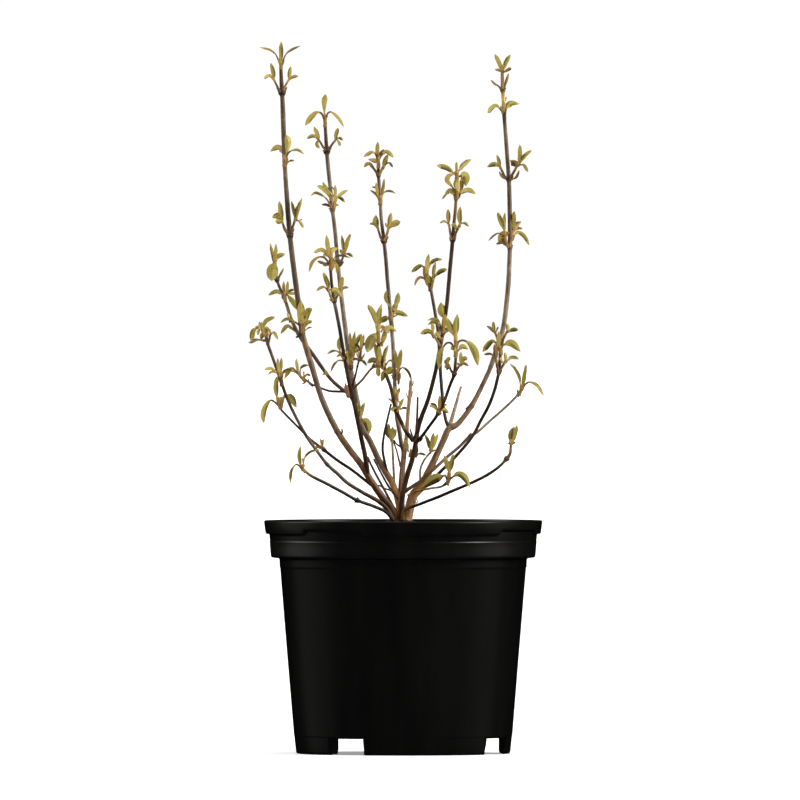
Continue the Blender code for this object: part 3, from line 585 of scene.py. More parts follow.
LIMBS = {
    "stem_tall_left": (
        ((0, 7.0), (.1, 6.8), (.2, 6.3), (.3, 5.8), (.4, 5.8), (.5, 5.5), (.6, 5.2), (.7, 5.0), (.77, 4.3), (.85, 5.0), (.9, 4.8), (.95, 4.2), (1, 3.2)),
        ((0, (84, 54, 26)), (.06, (98, 62, 30)), (.12, (100, 66, 36)), (.16, (134, 104, 74)), (.20, (122, 92, 62)), (.26, MID), (.36, MID), (.41, OCHRE), (.46, BROWN), (.55, BROWN), (.64, BROWN), (.69, DARK), (.75, DRAB), (.80, MID), (.86, MID), (.92, BROWN), (.97, SEPIA), (1, GOLD)),
        ((332, 0.3), (235.5, 0.8), (92.5, 1.2)),
        ((394.2, 517.4, -1.4), (371.6, 480.6, -5), (338, 430.6, -9), (313.2, 364, -13), (297, 293, -18), (285, 166, -30), (281, 67, -40)),
        ((394.6, 522), (393, 511), (383, 498), (371.1, 480.9), (361.7, 465.5), (346, 444.7), (337.3, 431.1), (322.6, 400.5), (311.3, 364.6), (303.8, 339.4), (302.2, 333), (299.6, 311), (297, 293), (292.9, 262), (289.8, 234.5), (287.5, 206), (284.8, 166), (283.6, 133), (282.7, 105), (281.7, 87), (280.8, 66), (280.8, 60))),
    "stem_right_tall": (
        ((0, 9.0), (.06, 8.8), (.12, 7.5), (.17, 6.2), (.21, 6.6), (.24, 5.8), (.26, 5.2), (.32, 4.8), (.55, 4.8), (.62, 4.5), (.75, 4.5), (.79, 4.2), (.85, 4.0), (.9, 3.8), (.92, 4.6), (.95, 4.0), (1, 3.4)),
        ((0, (176, 138, 102)), (.08, (152, 116, 80)), (.14, OCHRE), (.19, MID), (.24, OCHRE), (.26, MID), (.30, (116, 93, 68)), (.34, MID), (.38, DRAB), (.47, DRAB), (.52, DRAB), (.55, MID), (.57, MID), (.59, GREY), (.62, MID), (.73, BROWN), (.80, BROWN), (.85, MID), (.88, DRAB), (.90, DARK), (.925, SEPIA), (.945, STRAW), (.965, CHESTNUT), (.98, SEPIA), (1, GOLD)),
        ((427, 0.35), (406, 0.4), (247, 0.5), (179, 1.1), (110, 0.3), (90, 0.75)),
        ((409.6, 517.4, -0.2), (421, 485, 0), (449.5, 426.5, 10), (482.4, 385, 24), (500, 337, 38), (509.2, 262, 50), (507, 161, 58), (502.4, 79, 62)),
        ((406.8, 523), (408.0, 515), (413.5, 495), (421.6, 485), (430, 469), (437, 454), (443, 441), (449, 428.6), (457, 424.5), (465.4, 414.6), (472, 405), (482.4, 385), (490.6, 367), (496.0, 351), (500.6, 337.2), (503.8, 324.2), (506.8, 300.1), (508.5, 280), (509.8, 247), (509.8, 222), (508.8, 179), (507.5, 161), (505.1, 128), (504.5, 121), (503.3, 97), (502.7, 90), (502.2, 74))),
    "stem_fork": (
        ((0, 6.8), (.1, 6.5), (.19, 6.0), (.25, 5.6), (.3, 5.2), (.4, 4.8), (.5, 4.6), (.6, 4.3), (.7, 4.0), (.85, 4.0), (.9, 4.2), (.94, 3.8), (1, 3.2)),
        ((0, (160, 120, 82)), (.09, (176, 132, 88)), (.14, OCHRE), (.22, (104, 82, 60)), (.28, DRAB), (.36, GREY), (.45, GREY), (.53, DRAB), (.57, GREY), (.65, GREY), (.71, DRAB), (.77, GREY), (.84, DRAB), (.90, MID), (.94, SEPIA), (.97, SEPIA), (1, CHESTNUT)),
        ((365, 0.5), (262, 0.6), (210, 0.7), (151.5, 1.2)),
        ((398.8, 517.4, 4.6), (384, 468, 4), (362, 427, 6), (350, 365, 10), (339.5, 272, 18), (330, 185, 26), (325, 124, 32)),
        ((400.4, 522), (400, 510), (394, 487), (384, 469), (378, 458.5), (370.1, 441.4), (362, 427), (358.6, 408), (355, 389), (351.3, 372), (348.2, 351), (345, 326), (341.5, 298), (338.7, 272), (337.1, 257), (335, 231), (332.3, 209), (330, 185), (328.2, 168), (326.7, 150.5), (325.3, 127), (325, 119))),
    "stem_centre_left": (
        ((0, 4.6), (.3, 4.3), (.45, 4.0), (.5, 3.8), (.75, 3.8), (.81, 3.5), (.95, 3.4), (1, 2.8)),
        ((0, CHESTNUT), (.12, SEPIA), (.20, (70, 48, 30)), (.27, MID), (.34, GREY), (.42, GREY), (.50, GREY), (.54, BROWN), (.58, MID), (.64, BROWN), (.70, DARK), (.77, BROWN), (.805, DARK), (.84, DRAB), (.88, DRAB), (.92, MID), (.97, SEPIA), (1, CHESTNUT)),
        ((376, 0.5), (318, 0.5), (240.7, 1.2), (201, 0.4), (175, 0.7)),
        ((401.8, 517.4, 10.2), (401.2, 476, 12), (399, 431, 17), (394, 372, 28), (388.6, 295, 44), (381.8, 225, 58), (378.6, 172, 68)),
        ((401, 522), (400, 515), (400, 497), (401.2, 476), (403.3, 451), (401.3, 444), (399.3, 431), (396.9, 418), (395, 388), (394.1, 372), (392.7, 341), (390.7, 319), (388.8, 295), (387.4, 280), (385.7, 258), (383.9, 241), (381.1, 217), (380.3, 201), (379.2, 186), (378.4, 175), (378.2, 160))),
    "stem_centre_right": (
        ((0, 5.2), (.25, 5.0), (.32, 4.4), (.4, 4.2), (.6, 4.0), (.79, 4.0), (.85, 3.4), (.9, 3.2), (1, 3.0)),
        ((0, (68, 44, 20)), (.14, (56, 38, 18)), (.20, (56, 40, 20)), (.25, (50, 36, 22)), (.33, UMBER), (.45, UMBER), (.52, BROWN), (.56, DARK), (.70, DARK), (.80, DARK), (.87, BROWN), (.92, GOLD), (.96, CHESTNUT), (1, GOLD)),
        ((439, 1.0), (332, 0.5), (240, 0.9), (198, 0.6)),
        ((402.4, 517.4, -4.4), (406, 476, -5), (414.5, 439, -9), (431, 382, -17), (446.7, 305, -26), (453.2, 236, -33), (457, 198, -38)),
        ((402.2, 522), (402, 505), (402.4, 498), (407, 476.2), (412.2, 459.3), (415.4, 445), (417, 433), (421, 418.3), (427.7, 400.6), (432.7, 382.6), (436.8, 365.4), (440.4, 346.2), (442.9, 331), (446.7, 305), (449, 280), (450, 268), (452, 247), (453.8, 225), (455.3, 210), (456.3, 193), (457, 170))),
    "stem_low_left": (
        ((0, 4.6), (.13, 4.2), (.18, 3.8), (.34, 3.7), (.44, 3.3), (.54, 3.5), (.6, 3.2), (.75, 3.3), (.9, 3.0), (1, 3.2)),
        ((0, DARK), (.10, SEPIA), (.20, (76, 60, 46)), (.34, (78, 62, 48)), (.42, BROWN), (.50, MID), (.54, DARK), (.60, BROWN), (.70, DARK), (.78, DARK), (.88, BROWN), (.95, BROWN), (1, CHESTNUT)),
        ((464, 0.35), (380, 0.3)),
        ((391.0, 517.4, -6.6), (381, 502, -9.5), (362, 492, -13), (328, 464, -20), (299, 422, -28), (281, 380, -36), (268, 343, -44)),
        ((394, 521), (386, 508), (378, 501), (362, 492), (346.7, 482.3), (336.4, 472.7), (327.4, 464.6), (317.4, 451.5), (307, 437), (298.6, 422.2), (288.4, 401.3), (280.5, 380.2), (277.6, 372), (272.2, 356.2), (267.5, 343), (266, 336))),
    "stem_basal_left": (
        ((0, 3.4), (.3, 3.4), (.6, 3.3), (.8, 3.3), (1, 2.9)),
        ((0, UMBER), (.3, INK), (.40, UMBER), (.47, INK), (.65, INK), (.75, UMBER), (.86, UMBER), (.93, CHESTNUT), (1, GOLD)),
        ((500.5, 0.8),),
        ((392.0, 517.4, -11.4), (383, 511.5, -18), (357, 500.5, -32), (327, 483, -52), (303.5, 469, -72)),
        ((393, 520), (386, 512), (373, 506), (357, 500.2), (342, 491.8), (326.4, 483.5), (310, 475), (303, 469))),
    "stem_right_dark": (
        ((0, 3.3), (.5, 3.3), (.8, 3.5), (.86, 3.5), (1, 3.2)),
        ((0, CHESTNUT), (.12, SEPIA), (.28, INK), (.40, UMBER), (.55, DARK), (.62, UMBER), (.75, INK), (.88, UMBER), (.93, SEPIA), (1, CHESTNUT)),
        ((372, 0.8),),
        ((407.0, 517.4, 8.4), (425, 487, 12), (455, 458, 15), (481, 420, 16), (493.7, 392, 16), (499, 372, 15), (500.6, 352, 14)),
        ((406, 521), (411, 503), (425, 487), (441, 471), (455.6, 456.6), (472.5, 436), (481, 420), (488.8, 405.5), (493.9, 392), (497.8, 377), (498.9, 372), (500.5, 350))),
    "stem_right_slant": (
        ((0, 3.4), (.10, 3.3), (.56, 3.1), (.62, 2.7), (1, 2.5)),
        ((0, DARK), (.10, (110, 90, 68)), (.16, (114, 90, 64)), (.22, (112, 86, 56)), (.27, (72, 58, 44)), (.33, (58, 47, 36)), (.42, (56, 46, 35)), (.50, (76, 62, 48)), (.56, (80, 64, 48)), (.65, MID), (.82, MID), (1, MID)),
        ((436, 0.65),),
        ((404.6, 491.6, -4.8), (413.5, 485.8, -5.8), (421.4, 480.2, -7.4), (434, 469, -8), (447, 457.4, 3), (460, 446, 20), (475.5, 433.4, 27), (490.5, 420, 38), (520.4, 391, 52)),
        ((404.6, 491.8), (407.2, 489.9), (413.5, 485.6), (421.6, 480), (434, 469), (447, 457), (460, 446), (469.8, 436.2), (476.7, 432.5), (490.6, 420.2), (501.6, 410.7), (516.6, 396), (521, 389))),
    "stem_basal_right": (
        ((0, 3.2), (.2, 3.2), (.4, 3.2), (.7, 3.1), (.85, 3.0), (.9, 3.4), (1, 2.8)),
        ((0, CHESTNUT), (.08, CHESTNUT), (.14, UMBER), (.35, INK), (.50, INK), (.65, UMBER), (.76, DARK), (.82, BROWN), (.86, MID), (.90, OCHRE), (.94, CHESTNUT), (1, STRAW)),
        ((459, 0.9),),
        ((403.6, 517.4, -9.6), (420, 504, -14), (453, 490.6, -24), (487, 475, -36), (505.5, 459.5, -44), (511, 445.5, -48)),
        ((402.5, 520), (404, 511), (420, 504), (438, 497), (453, 490.6), (471, 483), (487, 475), (500, 465.8), (506.3, 459), (509.9, 454), (511, 444.7))),
    "bough_front_left": (
        ((0, 5.0), (.14, 4.7), (.3, 4.2), (.53, 3.6), (.8, 3.4), (1, 3.0)),
        ((0, DARK), (.10, DARK), (.16, UMBER), (.35, DARK), (.55, DARK), (.70, DARK), (.76, BROWN), (.82, MID), (.88, DARK), (1, CHESTNUT)),
        ((358, 0.7), (300, 1.0)),
        ((367.5, 474, -6), (363, 452, -12), (355, 408, -26), (343, 351, -48), (334, 300, -64), (330.2, 266, -74)),
        ((367.8, 475), (364.9, 455), (360.8, 436), (355, 408), (349, 382), (346, 367), (343.2, 351), (340, 331), (336.8, 314), (334, 300), (332, 287), (330, 263))),
    "bough_low_left": (
        ((0, 3.1), (.46, 3.2), (.6, 2.9), (.8, 2.4), (1, 2.4)),
        ((0, DARK), (.12, DARK), (.25, UMBER), (.46, UMBER), (.52, DARK), (.66, BROWN), (.78, DARK), (.90, DARK), (1, SEPIA)),
        ((450, 0.5),),
        ((371, 484, -5), (352, 470, 0), (324, 450, 8), (299, 428, 15), (281.5, 410, 22)),
        ((371, 485), (352, 470), (337, 460), (323.8, 449.7), (310.8, 439.6), (303, 432), (298.8, 427.8), (289, 418), (281, 409.6))),
    "bough_fork_left": (
        ((0, 3.9), (.2, 3.9), (.42, 3.7), (.74, 3.3), (1, 2.6)),
        ((0, SEPIA), (.20, BROWN), (.30, BROWN), (.36, SEPIA), (.45, DARK), (.55, BROWN), (.66, BROWN), (.74, DRAB), (.82, BROWN), (.92, SEPIA), (1, CHESTNUT)),
        ((279.5, 1.0), (298, 0.5)),
        ((360.5, 421, 6), (352, 403, 5), (344, 390, 6), (324, 370, 14), (299, 335, 32), (285, 300, 46), (276.8, 279, 54)),
        ((361, 424), (354.5, 404), (349, 394), (342.6, 389.6), (332, 380.4), (324, 370.4), (309, 349), (302, 340), (299, 335), (291, 318), (285, 300), (277, 280), (275, 264))),
    "bough_knob_left": (
        ((0, 4.2), (.2, 4.0), (.4, 3.8), (.6, 3.6), (1, 3.3)),
        ((0, DARK), (.08, UMBER), (.12, DARK), (.15, OCHRE), (.19, DARK), (.30, SEPIA), (.40, SEPIA), (.58, BROWN), (.72, SEPIA), (.85, SEPIA), (.93, SEPIA), (1, GOLD)),
        ((410, 0.8), (365, 0.5)),
        ((414.0, 441.5, -9), (405, 430, -14), (395, 408, -26), (386.5, 377, -42), (379.6, 347, -58)),
        ((413, 441), (411, 438), (405, 430), (402.6, 425), (395.4, 408), (390.9, 388), (387, 377), (382.6, 362), (379, 349), (378.5, 334))),
    "bough_knob_right": (
        ((0, 3.3), (.17, 3.2), (.6, 3.3), (.8, 3.3), (1, 2.8)),
        ((0, DARK), (.15, INK), (.30, UMBER), (.48, DARK), (.52, BROWN), (.58, DARK), (.65, UMBER), (.76, DARK), (.87, BROWN), (.95, CHESTNUT), (1, GOLD)),
        ((412.7, 0.9), (374, 0.8)),
        ((414.5, 441.0, -9), (429, 425, -22), (444.7, 400, -44), (454.4, 374, -62), (456, 354, -72)),
        ((414.5, 441.3), (419.1, 439), (429.7, 425.6), (438.6, 412.7), (444.7, 400), (450, 385), (454.2, 374), (455.4, 362), (456, 350))),
    "bough_tall_fork": (
        ((0, 3.5), (.3, 3.6), (.5, 3.5), (.7, 3.4), (.85, 3.3), (1, 3.0)),
        ((0, DARK), (.08, DARK), (.2, DARK), (.36, UMBER), (.55, DARK), (.72, DARK), (.88, DARK), (1, BROWN)),
        ((356, 0.8),),
        ((449.5, 429, 10), (443.7, 407.6, 14), (440.6, 372, 22), (435.5, 316, 38), (430.4, 290, 46)),
        ((449.5, 429), (446.7, 423), (443.5, 407.6), (442, 392), (440.5, 372), (439.7, 356), (438, 331), (435.6, 316), (432.4, 298), (430.4, 286))),
    "twig_front_right": (
        ((0, 2.6), (.6, 2.3), (.85, 2.3), (1, 2.4)),
        ((0, (190, 142, 98)), (.3, (172, 132, 96)), (.63, PALE), (.80, BROWN), (.88, SEPIA), (1, CHESTNUT)),
        ((484, 0.4),),
        ((413.5, 499, -1), (420, 490.3, -12), (431, 488.6, -26), (442, 486.2, -40), (447.2, 482.6, -46)),
        ((408, 495.5), (415, 491.6), (430.6, 488.3), (442, 486.2), (447, 482), (449, 477))),
}
PATHS = {}          # limb -> array of (x, y, z, row, depth mm, radius)


def limb_path(name, step=0.0011):
    widths, tones, nodes, deep, line = LIMBS[name]
    line = [np.array(p, float) for p in line]
    run = np.concatenate([[0], np.cumsum([np.linalg.norm(b - a) for a, b in zip(line, line[1:])])])
    marks, depths = [], []
    for u, v, d in deep:
        best = (1e9, 0)
        for i in range(len(line) - 1):
            seg = line[i + 1] - line[i]
            t = min(1.0, max(0.0, float((np.array((u, v)) - line[i]) @ seg / (seg @ seg))))
            gap = np.linalg.norm(line[i] + seg * t - (u, v))
            if gap < best[0]:
                best = (gap, run[i] + t * np.linalg.norm(seg))
        if not marks or best[1] > marks[-1] + 0.5:
            marks.append(best[1])
            depths.append(d)
    pts = []
    for i, p in enumerate(line):
        d = float(np.interp(run[i], marks, depths))
        q = at(p[0], p[1], d)
        pts.append((q.x, q.y, q.z, p[1], d, run[i] / run[-1]))
    return curve_points(pts, step)


def tone_along(tones, f):
    at_f = [t[0] for t in tones]
    rgb = np.array([srgb(*t[1]) for t in tones])
    return np.array([np.interp(f, at_f, rgb[:, k]) for k in range(3)])


def bark_limb(name, index):
    widths, tones, nodes, deep, line = LIMBS[name]
    p = limb_path(name)
    f = p[:, 5]
    r = 0.5 * CELL * np.interp(f, [w[0] for w in widths], [w[1] for w in widths]) * 0.985
    rows = p[:, 3]
    s = np.cumsum(np.concatenate([[0], np.linalg.norm(np.diff(p[:, :3], axis=0), axis=1)]))
    gain = np.ones(len(p))
    ring = np.zeros(len(p))
    for v, k in nodes:
        i0 = int(np.argmin(abs(rows - v)))
        d = s - s[i0]
        gain += k * (0.00125 / r) * np.exp(-(abs(d) / 0.0019) ** 2.6)
        gain += k * 0.12 * np.exp(-((d - 0.0030) / 0.0012) ** 2)
        ring += k * np.exp(-(abs(d) / 0.0019) ** 3)
    if name.startswith("stem"):
        gain += 0.28 * np.exp(-f * 30)
    r = r * gain
    PATHS[name] = np.concatenate([p[:, :5], r[:, None]], axis=1)
    thick = widths[0][1]
    sides = 20 if thick > 4 else 14
    ang = 2 * math.pi * np.arange(sides) / sides
    wob = np.ones((len(p), sides))
    tint = np.zeros((len(p), sides, 3))
    t, a, b = frames(p[:, :3])
    # direction of the light that is painted into the bark's colour
    sun = np.array((0.80, -0.15, 0.58))
    for i in range(len(p)):
        base = tone_along(tones, f[i])
        rich = 1.32 + 0.9 * max(0.0, 1 - base.mean() / 0.05)
        patch = noise.noise(Vector((s[i] * 32, index * 3.7, 2.0)))
        for k in range(sides):
            c, q = math.cos(ang[k]), math.sin(ang[k])
            ridge = noise.noise(Vector((c * 1.9, q * 1.9, s[i] * 55 + index * 7)))
            pit = noise.noise(Vector((c * 4.5, q * 4.5, s[i] * 420 + index * 3)))
            wart = noise.noise(Vector((c * 3.2, q * 3.2, s[i] * 700 + index * 5)))
            wob[i, k] = 1 + 0.060 * ridge + 0.050 * pit + (0.16 * max(0.0, wart - 0.38))
            # painted light and shade: the side facing the sky and the sun is painted paler and the underside darker, as
            # if lit from there
            face = float((c * a[i] + q * b[i]) @ sun)
            low = max(0.0, -float(c * a[i, 2] + q * b[i, 2]))
            painted_light_and_shade = 1 + 0.98 * max(0.0, face) ** 2 + 0.10 * min(0.0, face) - 0.30 * low
            shade = 1 + 0.30 * ridge + 0.22 * pit + 0.55 * max(0.0, wart - 0.35) + 0.18 * patch
            grey = base.mean()
            col = np.maximum(grey + (base - grey) * rich, 0.001) * max(0.35, shade) * painted_light_and_shade * (1 - 0.66 * min(1.0, ring[i]))
            grey = col.mean()
            # painted highlight: the side facing the sun is also painted greyer, like a dull sheen
            tint[i, k] = col + (grey - col) * (0.55 * max(0.0, face) ** 2)
    verts, faces = lathe_tube(p[:, :3], r, sides, wob)
    cols = list(tint.reshape(-1, 3)) + [tint[0].mean(0), tint[-1].mean(0)]
    ob = make_object("bark_" + name, verts, faces, [BARK], colours=np.clip(cols, 0.002, 0.9))
    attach(ob, "root")
    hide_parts(name)


for index, name in enumerate(LIMBS):
    bark_limb(name, index)


def woody_crown():
    """Gnarled base where the stems join, from under the compost's surface to their feet."""
    verts, faces, cols = [], [], []
    sides, levels = 72, 34
    z0, z1 = 0.1875, 0.2106
    for i in range(levels + 1):
        f = i / levels
        for k in range(sides):
            a = 2 * math.pi * k / sides
            r = 0.0170 + 0.0042 * (1 - f) ** 1.8
            if f > 0.72:
                r *= math.sqrt(max(0.0, 1 - ((f - 0.72) / 0.28) ** 2)) * 0.97 + 0.03
            r *= 1 + 0.10 * math.sin(3 * a + 2 * f) * (1 - 0.3 * f) + 0.06 * math.cos(5 * a - 3 * f)
            n1 = noise.noise(Vector((math.cos(a) * 3, math.sin(a) * 3, f * 3)))
            n2 = noise.noise(Vector((math.cos(a) * 8, math.sin(a) * 8, f * 11)))
            r *= 1 + 0.10 * n1 + 0.05 * n2
            verts.append((-0.0030 + r * math.cos(a), 0.0014 + r * math.sin(a), z0 + (z1 - z0) * f + 0.0006 * n2))
            cols.append(np.array(srgb(50, 34, 22)) * (1 + 0.5 * n1 + 0.4 * n2))
    for i in range(levels):
        for k in range(sides):
            k2 = (k + 1) % sides
            faces.append((i * sides + k, i * sides + k2, (i + 1) * sides + k2, (i + 1) * sides + k))
    verts += [(-0.003, 0.0014, z0), (-0.003, 0.0014, z1 + 0.0003)]
    cols += [np.array(srgb(50, 34, 22))] * 2
    for k in range(sides):
        k2 = (k + 1) % sides
        faces.append((len(verts) - 2, k2, k))
        faces.append((len(verts) - 1, levels * sides + k, levels * sides + k2))
    ob = make_object("bark_crown_base", verts, faces, [BARK], colours=np.clip(cols, 0.002, 0.9))
    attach(ob, "root")
    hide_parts("crown_base")


woody_crown()

# ---------------------------------------------------------------- fine twigs, spurs and dead stubs
# foot width, tip width, colour, then column, row and depth (mm) along each.
FINE = (
    (2.6, 2.0, DARK, ((344, 391.5, 5), (330, 391, 3), (321, 388, 1), (311, 384, -1))),
    (2.6, 2.4, (128, 78, 44), ((312, 384.6, -1), (308, 381.5, -2), (304.5, 379, -2))),
    (2.3, 1.8, DARK, ((350, 391, 3), (352, 386, 0), (355, 377, -3), (358.5, 362, -6), (360.4, 357, -7))),
    (2.5, 2.3, CHESTNUT, ((351, 391, 3), (356, 386, -1), (362, 380, -6), (370, 370, -12), (374, 366.5, -14))),
    (3.0, 2.0, (84, 52, 36), ((416, 435, -10), (417, 420, -13), (417.7, 397, -16))),
    (4.5, 3.6, (164, 122, 88), ((402, 494, 1), (403, 470, 2), (406.4, 436, 4), (408, 413, 5), (410, 392, 6), (411, 380.5, 6))),
    (1.4, 1.0, (150, 100, 56), ((409.8, 401, 5), (407, 396, 4), (406.6, 393, 4))),
    (1.4, 1.0, (150, 100, 56), ((409.6, 400, 6), (411.5, 396, 7), (412.6, 391, 8))),
    (1.3, 0.9, (160, 112, 62), ((410.7, 388, 6), (413, 384, 5), (413.8, 381, 5))),
    (4.2, 2.4, (158, 132, 104), ((450, 424.5, 10), (455, 407.6, 14), (458.5, 395, 17), (461, 386.6, 19))),
    (2.4, 2.0, (128, 104, 78), ((420.2, 481, -7.4), (420.4, 469, -7.5), (424.2, 460, -7), (430.6, 452, -6))),
    (2.9, 2.1, DARK, ((389, 478, 4), (385.6, 466, 2), (382.6, 449, -2), (384, 435, -5), (388, 417, -8), (391, 404, -10))),
    (2.7, 2.3, (158, 144, 100), ((396.5, 500, 9), (395, 492, 8), (393.6, 471, 6), (392.6, 451, 4), (392, 440, 3))),
    (2.7, 2.2, (78, 52, 32), ((394, 508, 0), (384, 489, -2), (373.7, 470, -5), (367.6, 457, -7))),
    (2.5, 1.9, (60, 42, 28), ((398, 499, 2), (389, 487, 0), (373.7, 459, -3))),
    (2.0, 1.6, (92, 60, 38), ((397.5, 498.5, 1), (391, 490.8, -1), (385, 488.5, -2), (378.5, 485, -3))),
    (2.1, 1.5, (134, 72, 48), ((400.5, 467, 8), (397, 452, 7), (393, 440, 6))),
    (1.9, 1.4, (44, 30, 20), ((400.4, 446.5, 12), (396.5, 444, 8), (394, 440, 5))),
    (2.4, 1.5, (84, 54, 40), ((339.8, 435.6, -10), (342.2, 432, -11), (341.7, 428.6, -11))),
    (2.4, 1.5, DARK, ((337.6, 433.5, -10), (335.6, 433, -11), (334.4, 431.4, -12))),
    (2.8, 1.6, (104, 66, 40), ((466.2, 409.2, 15), (469, 406, 13), (471, 404.2, 12))),
    (2.3, 1.2, (88, 52, 36), ((413, 438, -10), (411, 432, -12), (410, 428.5, -12))),
    (2.6, 1.6, (100, 58, 40), ((415, 441, -12), (416.3, 437, -14), (417, 434.5, -15))),
    (2.6, 1.6, DARK, ((416.5, 441.5, -9), (420.5, 440.5, -10), (422.5, 438, -10))),
    (4.6, 4.9, (150, 100, 72), ((348.6, 396.5, 3), (347.6, 392.5, 0), (346.8, 389.0, -1), (346.2, 386.0, -1))),
    (2.4, 1.4, (128, 84, 60), ((346.2, 386.5, -1), (345.2, 383.6, -2))),
    (3.0, 1.9, INK, ((300.5, 333.8, -17), (298.2, 335.8, -19), (296.3, 337.4, -20))),
    (1.9, 1.4, (128, 78, 44), ((306.5, 380.5, -1), (304, 383.2, -3), (302.5, 383.6, -4))),
    (1.9, 1.3, DARK, ((309, 383, -1), (311.5, 385.5, 0), (313, 386.4, 1))),
    (1.2, 0.9, CHESTNUT, ((413, 500, -6), (415.5, 503, -9), (417.5, 502, -11), (417, 499.5, -12))),
)


def joined_tubes(name, rows, sides=8):
    verts, faces, cols = [], [], []
    for j, (w0, w1, colour, line) in enumerate(rows):
        pts = []
        for u, v, d in line:
            q = at(u, v, d)
            pts.append((q.x, q.y, q.z))
        p = curve_points(pts, 0.0011)
        f = np.linspace(0, 1, len(p))
        r = 0.5 * CELL * (w0 + (w1 - w0) * f)
        wob = np.ones((len(p), sides))
        tint = np.zeros((len(p), sides, 3))
        base_c = np.array(srgb(*colour))
        for i in range(len(p)):
            for k in range(sides):
                a = 2 * math.pi * k / sides
                n1 = noise.noise(Vector((math.cos(a) * 3 + j, math.sin(a) * 3, f[i] * len(p) * 0.35)))
                wob[i, k] = 1 + 0.13 * n1
                tint[i, k] = base_c * (1 + 0.5 * n1)
        v2, f2 = lathe_tube(p, r, sides, wob)
        base = len(verts)
        verts += v2
        faces += [tuple(q + base for q in g) for g in f2]
        cols += list(tint.reshape(-1, 3)) + [tint[0].mean(0), tint[-1].mean(0)]
    ob = make_object(name, verts, faces, [BARK], colours=np.clip(cols, 0.002, 0.9))
    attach(ob, "root")
    return ob


joined_tubes("fine_twigs", FINE)
